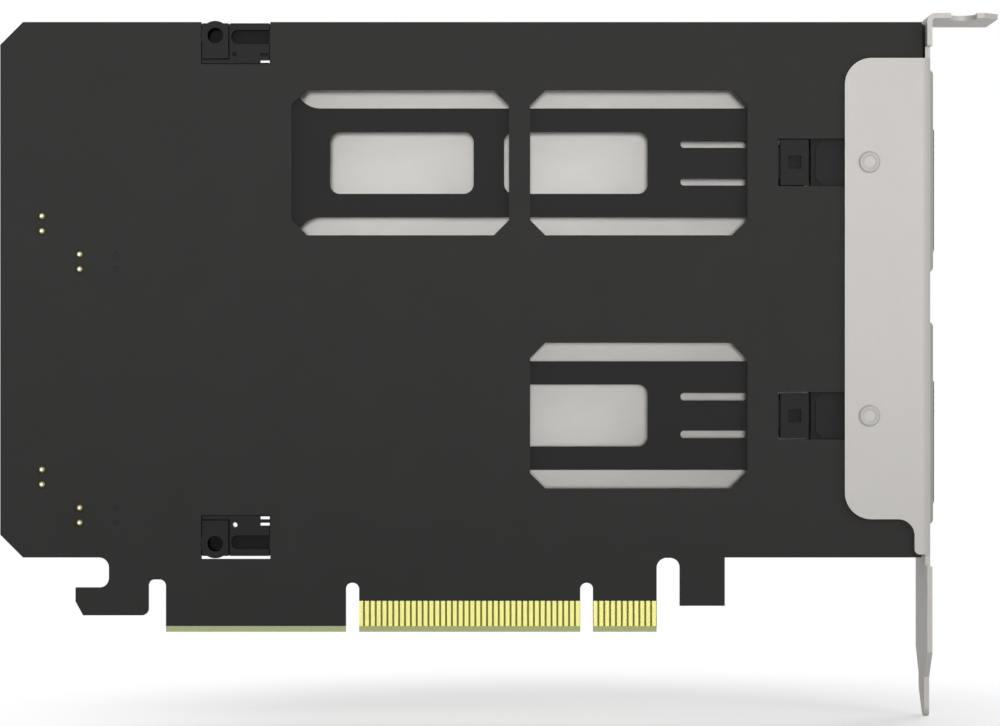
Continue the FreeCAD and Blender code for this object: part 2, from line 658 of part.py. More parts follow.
def make_feet(cage):
    """The corner feet that fill the board's notches, each a post and a grooved pad."""
    post_front = "post_length - post_rear"
    foot_front = "-foot_notch_front - fit_gap"
    layers = []
    pads = []
    posts = []
    channels = []
    channel_corners = []
    channel_rear = f"{post_front} + post_groove * 1.5"
    for foot in FEET:
        heights = foot_band(foot, "0", "foot_height")
        channel = foot_band(foot, "channel_inset", "channel_height")
        layers.append(rectangle(
            "-foot_notch_rear - foot_lap", "cell_rear",
            *foot_band(foot, "0", "(foot_height + foot_lap)")))
        pads.append(rectangle("-post_rear", foot_front, *heights))
        posts.append(rectangle("-post_rear", post_front, *foot_band(foot, "0", "post_height")))
        channels.append(rectangle(channel_rear, foot_front, *channel))
        channel_corners += [(channel_rear, rise) for rise in channel]
    cage.pad("XZ", "board_face", "foot_depth - board_thick + foot_sink", *layers)
    cage.pad("XZ", "board_back + foot_sink", "foot_depth", *pads)
    cage.pad("XZ", "board_face", "cage_far - board_face", *posts)
    bosses = [Circle(*point, "post_boss_radius") for point in post_points()]
    cage.pad("XZ", "board_back", "board_thick", *bosses)
    cage.pocket("XZ", "board_back", "board_thick", *[foot_groove(foot) for foot in FEET])
    cage.pocket("XZ", "board_back", "channel_depth", *channels)
    cage.round_corners("XZ", channel_corners, "channel_height * 0.45")
    high_foot, low_foot = FEET
    cage.pocket("XZ", "board_back", "foot_depth + foot_sink",
                foot_slots(high_foot)[1], *foot_slots(low_foot), foot_pinhole(low_foot))
    cage.pocket("XZ", "board_back", "foot_depth / 2", foot_slots(high_foot)[0], foot_pinhole(high_foot))
    bores = [Circle(*point, "post_hole_radius") for point in post_points()]
    depth = "cage_far - board_back - screw_length - screw_tip_room - post_web"
    cage.pocket("XZ", "board_back", depth, *bores)


def flank_cells(low, high):
    """The cored-out cells of one flank of the cage, between solid ribs."""
    span = f"(cell_front - cell_rear - cell_rib * {CELLS_PER_FLANK - 1}) / {CELLS_PER_FLANK}"
    cells = []
    for number in range(CELLS_PER_FLANK):
        rear = f"cell_rear + {number} * ({span} + cell_rib)"
        cells.append(rectangle(rear, f"{rear} + {span}", low, high))
    return cells


def screw_points():
    """Where the cover's screws stand: two rows of three."""
    rises = ("cage_high - screw_edge", "(cage_high + cage_low) / 2", "cage_low + screw_edge")
    stations = ("-screw_rear_station", "cage_front - screw_front_inset")
    return [(station, rise) for station in stations for rise in rises]


def post_points():
    """Where the screws of the two corner posts stand."""
    station = "post_length / 2 - post_rear"
    return [(station, "cage_high - post_hole_inset"), (station, "cage_low + post_hole_inset")]


def centre_opening_corners(rise):
    """The corners of the two openings along the middle of a bay's floor."""
    corners = []
    for rear in centre_opening_rears():
        for end in (rear, f"{rear} + centre_opening_length"):
            corners.append((end, f"{rise} - centre_opening_height / 2"))
            corners.append((end, f"{rise} + centre_opening_height / 2"))
    return corners


def make_cage_floor(cage):
    """The openings, spring fingers and raised bosses of both bays' floors."""
    openings = []
    roots = []
    centres = []
    sides = []
    for rise in BAYS.values():
        openings += bay_openings(rise)
        roots += finger_root_corners(rise)
        centres += centre_opening_corners(rise)
        sides += [("-side_opening_rear", f"{rise} {side} bar_width / 2") for side in "+-"]
    cage.pocket("XZ", "board_face", "floor_thick", *openings)
    cage.pocket("XZ", "board_face", "floor_thick", *[finger_outline(rise) for rise in BAYS.values()])
    cage.round_corners("XZ", roots, "finger_slot * 0.45")
    cage.round_corners("XZ", centres, "centre_opening_round")
    cage.round_corners("XZ", sides, "side_opening_round")
    heads = []
    pits = []
    bosses = []
    holes = []
    seats = []
    head_half = "(finger_width / 2 + finger_slot)"
    pit_middle = "finger_head_rear + finger_head_length / 2"
    for rise in BAYS.values():
        heads.append(rectangle(
            "finger_head_rear", "finger_head_rear + finger_head_length",
            f"{rise} - {head_half}", f"{rise} + {head_half}"))
        pits.append(square(pit_middle, rise, "finger_head_pit / 2"))
        bosses.append(cut_rectangle(
            "floor_boss_rear", "floor_boss_front", f"{rise} - floor_boss_height / 2",
            f"{rise} + floor_boss_height / 2", "floor_boss_cut"))
        holes.append(small_round("rivet_station", rise, "(rivet_radius + screw_play)"))
        seats.append(small_round("rivet_station", rise, "(rivet_head_radius + screw_play)"))
    cage.pad("XZ", "board_back + finger_head_sink", "board_thick", *heads)
    cage.pocket("XZ", "board_back", "finger_pit_depth", *pits)
    cage.pad("XZ", "board_face - floor_boss_rise", "floor_boss_rise", *bosses)
    cage.pocket("XZ", "board_face", "floor_thick", *holes)
    cage.pocket("XZ", "floor_face - rivet_foot_thick", "rivet_foot_thick", *seats)


def make_cage():
    """The moulded cage: floor, walls round both bays, spring fingers and corner feet."""
    cage = Piece("drive_cage")
    cage.pad("XZ", "board_face", "cage_far - board_face", rectangle(
        "-cage_rear", "cage_front", "cage_low", "cage_high"))
    bays = []
    fronts = []
    for rise in BAYS.values():
        bays.append(rectangle(
            "-cage_rear", "cage_front", f"{rise} - half_bay", f"{rise} + half_bay"))
        fronts.append(rectangle(
            "front_shoulder - fit_gap", "cage_front",
            f"{rise} + bezel_low - bezel_gap", f"{rise} + bezel_high + bezel_gap"))
    cage.pocket("XZ", "floor_face", "bay_depth", *bays)
    make_cage_floor(cage)
    cage.pocket("XZ", "floor_face", "bay_depth", *fronts)
    flanks = flank_cells("upper_bay_rise + half_bay + cage_wall", "cage_high - cage_wall")
    flanks += flank_cells(
        "lower_bay_rise + half_bay + cage_wall", "upper_bay_rise - half_bay - cage_wall")
    flanks += flank_cells("cage_low + cage_wall", "lower_bay_rise - half_bay - cage_wall")
    cage.pocket("XZ", "floor_face", "bay_depth", *flanks)
    make_feet(cage)
    holes = []
    for station, rise in screw_points() + post_points():
        holes.append(small_round(station, rise, "(screw_radius + screw_play)"))
    cage.pocket("XZ", "cage_far - screw_length - screw_tip_room",
                "screw_length + screw_tip_room", *holes)
    return cage


def make_cover():
    """The sheet cover over both bays, with rows of vents."""
    cover = Piece("cage_cover")
    rear = "cover_margin - cage_rear"
    front = "cage_front - cover_margin"
    low = "cage_low + cover_margin"
    high = "cage_high - cover_margin"
    cover.pad("XZ", "cage_far", "cover_thick", rectangle(rear, front, low, high))
    cover.round_corners("XZ", [(rear, low), (rear, high), (front, low), (front, high)], "cover_corner")
    holes = []
    for station, rise in screw_points():
        holes.append(small_round(station, rise, "(screw_radius + screw_hole_play)"))
    cover.pocket("XZ", "cage_far", "cover_thick", *holes)
    for rise in BAYS.values():
        vent = cover.pocket("XZ", "cage_far", "cover_thick", rectangle(
            "-vent_rear", "vent_width - vent_rear",
            f"{rise} - vent_length / 2", f"{rise} + vent_length / 2"))
        cover.repeat([vent], "X_Axis", f"vent_pitch * {VENTS_PER_BAY - 1}", VENTS_PER_BAY)
    return cover


def add_screw(screws, station, rise, seat, sizes, head_form=Circle):
    """A screw that stands along Y, with its head beyond the seat level."""
    shank, length, head, head_rise = sizes
    screws.pad("XZ", f"{seat} - {length}", length, small_round(station, rise, shank))
    screws.pad("XZ", seat, head_rise, head_form(station, rise, head))


def make_cage_screws():
    """The like screws of the cover and of the two posts."""
    points = screw_points()
    posts = post_points()
    screws = Piece("cage_screws", solids=len(points) + len(posts))
    sizes = ("screw_radius", "screw_length", "screw_head_radius", "screw_head_rise")
    for station, rise in points:
        add_screw(screws, station, rise, "cage_far + cover_thick", sizes)
    for station, rise in posts:
        add_screw(screws, station, rise, "cage_far", sizes)
    return screws


def make_socket(bay, rise):
    """A drive socket with its mouth towards the bracket and a key across the slot."""
    socket = Piece(f"drive_socket_{bay}")
    rear = "-socket_mouth - socket_length"
    socket.pad("XZ", "board_face", "socket_height", rectangle(
        rear, "-socket_mouth", "-socket_width / 2", "socket_width / 2"))
    key_low = "socket_key_offset - socket_key_width / 2"
    key_high = "socket_key_offset + socket_key_width / 2"
    slot_near = "board_face + socket_slot_rise"
    for low, high in (("-socket_slot_width / 2", key_low), (key_high, "socket_slot_width / 2")):
        socket.pocket("XZ", slot_near, "socket_slot_height", rectangle(
            "-socket_mouth - socket_slot_depth", "-socket_mouth", low, high))
    socket.cut_corners("XY", [(rear, "board_face + socket_height")], "socket_slot_height")
    socket.place(rise)
    return socket


def make_led_header(bay, rise):
    """The base of a straight two-pin header."""
    header = Piece(f"led_header_{bay}")
    middle = "-led_header_drop"
    low = f"{middle} - pin_pitch"
    high = f"{middle} + pin_pitch"
    left = "-led_header_station - led_header_width / 2"
    right = "-led_header_station + led_header_width / 2"
    header.pad("XZ", "board_face", "led_header_rise", cut_rectangle(
        left, right, low, high, "led_header_width / 6"))
    holes = []
    for side in ("-", "+"):
        holes.append(square(
            "-led_header_station", f"{middle} {side} pin_pitch / 2", "(pin_half + screw_play)"))
    header.pocket("XZ", "board_face", "led_header_rise", *holes)
    header.place(rise)
    return header


def make_aux_connector(bay, rise):
    """A shrouded two-pin connector with two pegs that locate it in the board."""
    shroud = Piece(f"aux_connector_{bay}")
    middle = "-aux_drop"
    low = f"{middle} - aux_width / 2"
    high = f"{middle} + aux_width / 2"
    left = "-aux_station - aux_pin_inset"
    right = "aux_length - aux_station - aux_pin_inset"
    shroud.pad("XZ", "board_face", "aux_rise", rectangle(left, right, low, high))
    shroud.pocket("XZ", "board_face + aux_floor", "aux_rise - aux_floor", rectangle(
        f"{left} + aux_wall", f"{right} - aux_wall", f"{low} + aux_wall", f"{high} - aux_wall"))
    shroud.pocket("XZ", "board_face + aux_floor", "aux_rise - aux_floor", rectangle(
        f"{right} - aux_wall", right, f"{middle} - aux_width / 5", f"{middle} + aux_width / 5"))
    holes = []
    pegs = []
    for side in ("-", "+"):
        holes.append(square(
            "-aux_station", f"{middle} {side} pin_pitch / 2", "(pin_half + screw_play)"))
        pegs.append(small_round("-peg_station", f"{middle} {side} pin_pitch / 2", "peg_radius"))
    shroud.pocket("XZ", "board_face", "aux_floor", *holes)
    shroud.pad("XZ", "board_back + foot_sink", "board_thick - foot_sink", *pegs)
    shroud.place(rise)
    return shroud


def make_header_pins():
    """The pins of all four headers, through the board and out on its back."""
    pins = Piece("header_pins", solids=4 * len(BAYS))
    for rise in BAYS.values():
        for station, drop, length in (
            ("-led_header_station", "led_header_drop", "led_pin_rise"),
            ("-aux_station", "aux_drop", "aux_pin_rise"),
        ):
            ends = [square(station, f"{rise} - {drop} {side} pin_pitch / 2", "pin_half")
                    for side in ("-", "+")]
            pins.pad("XZ", "board_back - pin_tail", f"pin_tail + board_thick + {length}", *ends)
    return pins


def make_chip(label, station, rise, side, height):
    """A flat chip or choke body that stands on the board's component face."""
    chip = Piece(label)
    chip.pad("XZ", "board_face", height, rectangle(
        f"-{station} - {side} / 2", f"{side} / 2 - {station}", f"-{side} / 2", f"{side} / 2"))
    chip.place(rise)
    return chip


def make_choke(bay, rise):
    choke = make_chip(
        f"inductor_{bay}", "choke_station", f"{rise} + power_row_rise", "choke_side", "choke_rise")
    choke.cut_corners("XZ", [
        (f"{sign} choke_side / 2 - choke_station", f"{up} choke_side / 2")
        for sign in ("-", "") for up in ("-", "")], "choke_cut")
    return choke


def make_capacitors():
    """The chip capacitors beside the sockets, a short column for each bay."""
    count = CAPACITORS_PER_BAY * len(BAYS)
    capacitors = Piece("capacitors", solids=count)
    for rise in BAYS.values():
        pad = capacitors.pad("XZ", "board_face", "capacitor_rise", rectangle(
            "-capacitor_station - capacitor_long / 2", "capacitor_long / 2 - capacitor_station",
            f"{rise} - capacitor_wide / 2", f"{rise} + capacitor_wide / 2"))
        capacitors.repeat(
            [pad], "Z_Axis", f"capacitor_pitch * {CAPACITORS_PER_BAY - 1}", CAPACITORS_PER_BAY)
    return capacitors


def tray_screw_rises():
    return [f"{side} (half_tray - rail_wall - fit_gap - front_arm_width / 2)" for side in ("-", "")]


def make_tray_frame(bay, rise):
    """The light metal tray: a plate with a rail folded down along each side."""
    frame = Piece(f"tray_frame_{bay}")
    frame.pad("YZ", "-tray_rear", "tray_rear + tray_front_end", [
        ("tray_near", "-half_tray"), ("tray_far", "-half_tray"),
        ("tray_far", "half_tray"), ("tray_near", "half_tray"),
        ("tray_near", "half_tray - rail_wall"), ("tray_plate_near", "half_tray - rail_wall"),
        ("tray_plate_near", "rail_wall - half_tray"), ("tray_near", "rail_wall - half_tray")])
    frame.round_corners("YZ", [("tray_far", "-half_tray"), ("tray_far", "half_tray")], "tray_lead_in / 2")
    frame.cut_corners("XY", [("-tray_rear", "tray_near")], "tray_lead_in")
    holes = [small_round("tray_screw_station", place, "(tray_screw_radius + screw_play)")
             for place in tray_screw_rises()]
    holes.append(Circle(drive_end(), "0", "standoff_bore"))
    frame.pocket("XZ", "tray_plate_near", "tray_plate_thick", *holes)
    seats = [small_round("tray_screw_station", place, "(tray_screw_head + screw_play)")
             for place in tray_screw_rises()]
    frame.pocket("XZ", "tray_far - tray_screw_head_rise", "tray_screw_head_rise", *seats)
    frame.place(rise)
    return frame


def drive_end():
    """The station of the screw that holds a drive's free end."""
    return "drive_length - drive_insertion - socket_mouth"


def make_standoff(bay, rise):
    """The six-sided threaded post under a drive's free end."""
    post = Piece(f"drive_standoff_{bay}")
    flat = "standoff_radius * hexagon_share"
    left, right = f"{drive_end()} - {flat}", f"{drive_end()} + {flat}"
    post.pad("XZ", "tray_plate_near - standoff_rise", "standoff_rise", [
        (left, "-standoff_radius / 2"), (drive_end(), "-standoff_radius"),
        (right, "-standoff_radius / 2"), (right, "standoff_radius / 2"),
        (drive_end(), "standoff_radius"), (left, "standoff_radius / 2")])
    post.pocket("XZ", "tray_plate_near - standoff_rise", "standoff_rise",
                Circle(drive_end(), "0", "standoff_bore"))
    post.place(rise)
    return post


def lens_outline(play):
    """The lens's flat oblong section, with a play all round."""
    wide = f"(lens_width / 2 + {play})"
    tall = f"(lens_height / 2 + {play})"
    return rectangle(f"lever_middle - {wide}", f"lever_middle + {wide}",
                     f"bezel_low + lens_inset - {tall}", f"bezel_low + lens_inset + {tall}")


def make_tray_front(bay, rise):
    """The moulded front: bezel, lever recess, vents and two arms along the frame."""
    front = Piece(f"tray_front_{bay}")
    arm_out = "(half_tray - rail_wall - fit_gap)"
    arm_in = "(half_tray - rail_wall - fit_gap - front_arm_width)"
    arm_far = "tray_plate_near - fit_gap * 0.5"
    front.pad("XZ", "tray_near", "tray_far - tray_near", rectangle(
        "front_shoulder", "bezel_front", "bezel_low", "bezel_high"))
    front.pad("XZ", "tray_near", f"{arm_far} - tray_near", rectangle(
        "front_rear_end", "front_shoulder", f"-{arm_out}", arm_out))
    front.pocket("XZ", "tray_near", f"{arm_far} - tray_near", rectangle(
        "front_rear_end", "front_shoulder - front_web", f"-{arm_in}", arm_in))
    front.round_corners("XZ", [
        ("bezel_front", "bezel_low"), ("bezel_front", "bezel_high")], "bezel_round")
    side = "lever_width / 2 + lever_play"
    recess_rear = "hinge_station - lever_thick / 2 - lever_play"
    recess_low = "hinge_rise - lever_thick / 2 - lever_play"
    front.pocket("XZ", f"lever_middle - ({side})", f"2 * ({side})", rectangle(
        recess_rear, "bezel_front", recess_low, "lever_tip + finger_scoop"))
    front.pocket("XZ", "tray_near", "tray_far - tray_near", Circle(
        "hinge_station", "hinge_rise", "hinge_pin_radius + screw_play"))
    slots = []
    for number in range(VENT_SLOTS):
        high = f"bezel_high - vent_slot_inset - {number} * vent_slot_pitch"
        slots.append(rectangle(
            "lever_middle - vent_slot_length / 2", "lever_middle + vent_slot_length / 2",
            f"{high} - vent_slot_height", high))
    front.pocket("YZ", "front_shoulder - front_web", "bezel_front", *slots)
    holes = [small_round("tray_screw_station", place, "(tray_screw_radius + screw_play)")
             for place in tray_screw_rises()]
    front.pocket("XZ", f"{arm_far} - tray_screw_length", "tray_screw_length", *holes)
    front.pocket("YZ", "bezel_front - lens_length", "lens_length", lens_outline("screw_play"))
    front.place(rise)
    return front


def make_lens(bay, rise):
    """The indicator lens, a clear bar set in the bezel."""
    lens = Piece(f"tray_lens_{bay}")
    lens.pad("YZ", "bezel_front - lens_length", "lens_length", lens_outline("0"))
    lens.place(rise)
    return lens


def make_tray_screws(bay, rise):
    """The screws that hold the front block to the tray's plate, sunk flush with it."""
    screws = Piece(f"tray_screws_{bay}", solids=2)
    sizes = ("tray_screw_radius", "tray_screw_length", "tray_screw_head", "tray_screw_head_rise")
    for place in tray_screw_rises():
        add_screw(screws, "tray_screw_station", place, "tray_far - tray_screw_head_rise",
                  sizes, small_round)
    screws.place(rise)
    return screws


def make_lever_pin(bay, rise):
    pin = Piece(f"lever_pin_{bay}")
    pin.pad("XZ", "tray_near + pin_inset", "tray_far - tray_near - 2 * pin_inset",
            Circle("hinge_station", "hinge_rise", "hinge_pin_radius"))
    pin.place(rise)
    return pin


def make_lever(bay, rise):
    """The ejector lever: a bar with a rounded knuckle at its foot and a lip at its tip."""
    lever = Piece(f"eject_lever_{bay}")
    near = "lever_middle - lever_width / 2"
    rear = "hinge_station - lever_thick / 2"
    lever.pad("XZ", near, "lever_width", [
        (rear, "hinge_rise"), ("lever_front", "hinge_rise"), ("lever_front", "lever_tip"),
        (rear, "lever_tip")])
    lever.pad("XZ", near, "lever_width", Circle("hinge_station", "hinge_rise", "lever_thick / 2"))
    lever.pocket("XZ", near, "lever_width", Circle(
        "hinge_station", "hinge_rise", "hinge_pin_radius + hinge_play"))
    lever.cut_corners("XZ", [(rear, "lever_tip")], "lever_lip * 2")
    lever.round_corners("XZ", [("lever_front", "lever_tip")], "lever_lip")
    lever.place(rise)
    return lever


def make_part():
    pieces = [make_board(), make_contacts(), make_bracket(), make_rivets(), make_cage(),
              make_cover(), make_cage_screws(), make_header_pins(), make_capacitors()]
    middle = "(upper_bay_rise + lower_bay_rise) / 2"
    pieces.append(make_chip("clock_buffer", "clock_station", middle, "clock_side", "chip_rise"))
    for bay, rise in BAYS.items():
        chip_rise = f"{rise} + power_row_rise"
        pieces += [
            make_socket(bay, rise), make_led_header(bay, rise), make_aux_connector(bay, rise),
            make_choke(bay, rise),
            make_chip(f"regulator_{bay}", "chip_station", chip_rise, "chip_side", "chip_rise"),
            make_tray_frame(bay, rise), make_tray_front(bay, rise), make_lens(bay, rise),
            make_tray_screws(bay, rise), make_standoff(bay, rise), make_lever_pin(bay, rise),
            make_lever(bay, rise),
        ]
    return pieces


def check(pieces):
    """Nothing failed, and each piece is as many sound solids as it should be."""
    for item in DOC.Objects:
        if "Invalid" in item.State or "Error" in item.State:
            raise RuntimeError(f"{item.Label} failed: {item.State}")
    for piece in pieces:
        shape = piece.body.Shape
        if shape.isNull() or not shape.isValid():
            raise RuntimeError(f"{piece.body.Label} has no sound shape")
        if len(shape.Solids) != piece.solids:
            raise RuntimeError(f"{piece.body.Label} has {len(shape.Solids)} solids")


def main():
    pieces = make_part()
    DOC.recompute()
    check(pieces)
    os.makedirs("parts", exist_ok=True)
    for piece in pieces:
        piece.body.Shape.exportStep(f"parts/{piece.body.Label}.step")


main()
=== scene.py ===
import math

import bmesh
import bpy
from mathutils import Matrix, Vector


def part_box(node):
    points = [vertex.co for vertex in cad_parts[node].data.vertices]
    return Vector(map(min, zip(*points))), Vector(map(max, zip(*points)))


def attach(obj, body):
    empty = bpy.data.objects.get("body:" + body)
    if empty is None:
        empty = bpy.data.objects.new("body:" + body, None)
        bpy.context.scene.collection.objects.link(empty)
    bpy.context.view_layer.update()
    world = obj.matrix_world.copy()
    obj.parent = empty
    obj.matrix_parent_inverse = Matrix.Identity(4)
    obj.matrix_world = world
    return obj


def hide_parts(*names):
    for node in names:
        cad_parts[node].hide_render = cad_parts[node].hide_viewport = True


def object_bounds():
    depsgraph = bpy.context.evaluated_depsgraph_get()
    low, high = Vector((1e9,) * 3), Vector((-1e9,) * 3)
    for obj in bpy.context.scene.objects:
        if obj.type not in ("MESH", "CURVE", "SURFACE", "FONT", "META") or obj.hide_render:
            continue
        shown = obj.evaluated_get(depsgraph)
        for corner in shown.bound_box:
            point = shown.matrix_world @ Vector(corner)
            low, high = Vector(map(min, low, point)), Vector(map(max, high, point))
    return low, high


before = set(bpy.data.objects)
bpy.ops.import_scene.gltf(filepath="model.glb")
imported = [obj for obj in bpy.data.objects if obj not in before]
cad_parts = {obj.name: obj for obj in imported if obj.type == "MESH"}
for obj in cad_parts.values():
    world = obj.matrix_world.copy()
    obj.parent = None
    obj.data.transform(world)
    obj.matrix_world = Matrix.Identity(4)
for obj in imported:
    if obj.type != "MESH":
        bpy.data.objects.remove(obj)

bl_info = {
    "name": "Drive adapter card",
    "version": (1, 0, 0),
    "blender": (4, 5, 0),
    "location": "3D View > Sidebar > Card",
    "description": "Dresses a two-drive adapter card and sets the stage that it is shown on",
    "category": "Object",
}

CAD_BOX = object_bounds()
MM = 0.001
BAYS = ("upper", "lower")
ROUND = 32
BOARD_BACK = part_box("pcb")[0].y
BOARD_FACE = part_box("pcb")[1].y
CORNERS = ((1, 1), (-1, 1), (-1, -1), (1, -1))
# Stretches of the card edge along X that carry contacts or are bevelled, and the bevel's height,
# in millimetres.
PLATED = (-40.2, 12.2)
BEVELLED = (-72.2, 12.2)
BEVEL_TOP = 1.0
# Lays the threads of the board's glass cloth half a millimetre apart.
CLOTH_SCALE = 620.0
# How far a flat ring stands off the board, so that it shows.
SKIN = 0.012 * MM
# Screw heads from seat to top: share of the radius, and share of the height.
PAN_HEAD = ((0.94, 0.0), (1.0, 0.12), (1.0, 0.38), (0.95, 0.62), (0.84, 0.82), (0.70, 0.94),
            (0.58, 1.0))
FLAT_HEAD = ((0.98, 0.75), (0.98, 0.94), (0.94, 1.0))
# Legs on each side of a chip, and their pitch in millimetres.
CHIP_LEGS = {"regulator_upper": (5, 0.9), "regulator_lower": (5, 0.9), "clock_buffer": (8, 0.8)}


def colour_value(description, default):
    return bpy.props.FloatVectorProperty(
        description=description, default=default, subtype="COLOR", size=3, min=0, max=1)


def length_value(description, default):
    return bpy.props.FloatProperty(description=description, default=default, unit="LENGTH")


def share_value(description, default):
    return bpy.props.FloatProperty(
        description=description, default=default, subtype="FACTOR", min=0, max=1)


def level_value(description, default):
    return bpy.props.FloatProperty(description=description, default=default, min=0)


class BoardSettings(bpy.types.PropertyGroup):
    """Colours and sizes of the bare board and what is plated on it."""

    mask_colour: colour_value("Colour of the black solder mask", (0.0285, 0.0285, 0.0278))
    core_colour: colour_value("Colour of the board's cut edges", (0.036, 0.036, 0.029))
    bare_colour: colour_value("Colour of the laminate between the contacts", (0.215, 0.210, 0.030))
    ring_colour: colour_value(
        "Colour of the bare rings round joints and marks", (0.036, 0.0325, 0.008))
    bevel_colour: colour_value(
        "Colour of the bevelled laminate along the card edge", (0.48, 0.535, 0.278))
    gold_colour: colour_value("Colour of the plated contacts", (0.83, 0.80, 0.27))
    contact_top: length_value("Height to which the solder mask is left off the card edge", 0.0053)
    joint_radius: length_value("Radius of a solder joint on the back", 0.00048)
    ring_radius: length_value("Radius of the bare ring round a solder joint", 0.00078)


class CopperSettings(bpy.types.PropertyGroup):
    """Sizes of the traces and vias on the component side."""

    trace_width: length_value("Width of a signal trace", 0.00018)
    trace_rise: length_value("How far a trace stands out under the mask", 0.00002)
    pair_gap: length_value("Distance between the two traces of a pair", 0.00034)
    column_pitch: length_value("Distance between the pairs that run side by side", 0.0009)
    via_radius: length_value("Radius of the ring round a via", 0.00027)
    via_bore: length_value("Radius of a via's hole", 0.00012)
    mark_radius: length_value("Radius of an alignment mark", 0.0005)


class MetalSettings(bpy.types.PropertyGroup):
    """Colours of the card's metals and the sizes of its screw recesses."""

    bracket_colour: colour_value("Colour of the plated steel bracket", (0.503, 0.485, 0.464))
    tray_colour: colour_value("Colour of the satin aluminium trays", (0.61, 0.592, 0.571))
    screw_colour: colour_value(
        "Colour of the nickel-plated screws, posts and pins", (0.36, 0.35, 0.33))
    tin_colour: colour_value("Colour of solder, pins and tinned ends", (0.76, 0.76, 0.50))
    cover_colour: colour_value("Colour of the coated sheet cover", (0.030, 0.030, 0.031))
    cross_width: share_value("Width of the cross recess, as a share of the head's radius", 0.24)
    cross_depth: share_value("Depth of the cross recess, as a share of the head's radius", 0.34)


class PlasticSettings(bpy.types.PropertyGroup):
    """Colours of the moulded pieces and of the parts soldered to the board."""

    cage_colour: colour_value("Colour of the black moulded cage", (0.0145, 0.0147, 0.0145))
    front_colour: colour_value("Colour of the tray's moulded front", (0.34, 0.34, 0.31))
    lever_colour: colour_value("Colour of the ejector lever", (0.11, 0.11, 0.115))
    socket_colour: colour_value("Colour of the drive sockets", (0.026, 0.026, 0.028))
    header_colour: colour_value("Colour of the two-pin connectors", (0.024, 0.024, 0.026))
    chip_colour: colour_value("Colour of the chip bodies", (0.046, 0.046, 0.048))
    ferrite_colour: colour_value("Colour of the power chokes", (0.075, 0.075, 0.08))
    ceramic_colour: colour_value("Colour of the chip capacitors", (0.42, 0.30, 0.18))
    lens_colour: colour_value("Colour of the milky light guide", (0.72, 0.78, 0.76))


class StageSettings(bpy.types.PropertyGroup):
    """The floor, light and camera that the card is shown with."""

    floor_size: length_value("Side of the square floor", 4.0)
    shade_radius: length_value("How far from the card the floor still takes its shadow", 0.07)
    floor_tone: share_value("How pale the floor is to look at", 0.92)
    floor_bounce: share_value("How pale the floor is to the light that falls on it", 0.80)
    shade_lift: share_value("Share of plain white in the floor right under the card", 0.45)
    sky_level: level_value("Strength of the even light from all round", 0.40)
    front_level: level_value("Strength of the lamp that shines straight at the back", 1.21)
    key_level: level_value("Strength of the soft lamp high on the camera's side", 0.55)
    fill_level: level_value("Strength of the soft lamp on the far side", 1.5)
    camera_place: bpy.props.FloatVectorProperty(
        description="Where the camera stands", subtype="TRANSLATION", unit="LENGTH", size=3,
        default=(-0.01479, -0.650785, 0.0459))
    camera_lens: bpy.props.FloatProperty(
        description="Focal length on a sensor 36 mm wide", subtype="DISTANCE_CAMERA",
        default=137.1)


class Amount:
    """A number, colour or vector in a finish, for sums written as plain expressions."""

    def __init__(self, finish, socket):
        self.finish = finish
        self.socket = socket

    def sum(self, operation, first, second=0.0, clamp=False):
        return self.finish.node(
            "ShaderNodeMath", {"operation": operation, "use_clamp": clamp}, {0: first, 1: second})

    def __add__(self, other):
        return self.sum("ADD", self, other)

    def __radd__(self, other):
        return self.sum("ADD", other, self)

    def __sub__(self, other):
        return self.sum("SUBTRACT", self, other)

    def __rsub__(self, other):
        return self.sum("SUBTRACT", other, self)

    def __mul__(self, other):
        return self.sum("MULTIPLY", self, other)

    def __rmul__(self, other):
        return self.sum("MULTIPLY", other, self)

    def __gt__(self, other):
        return self.sum("GREATER_THAN", self, other)

    def __lt__(self, other):
        return self.sum("LESS_THAN", self, other)

    def __abs__(self):
        return self.sum("ABSOLUTE", self)

    def held(self):
        """The number kept between 0 and 1."""
        return self.sum("ADD", self, 0.0, clamp=True)

    def either(self, other):
        return self.sum("MAXIMUM", self, other)


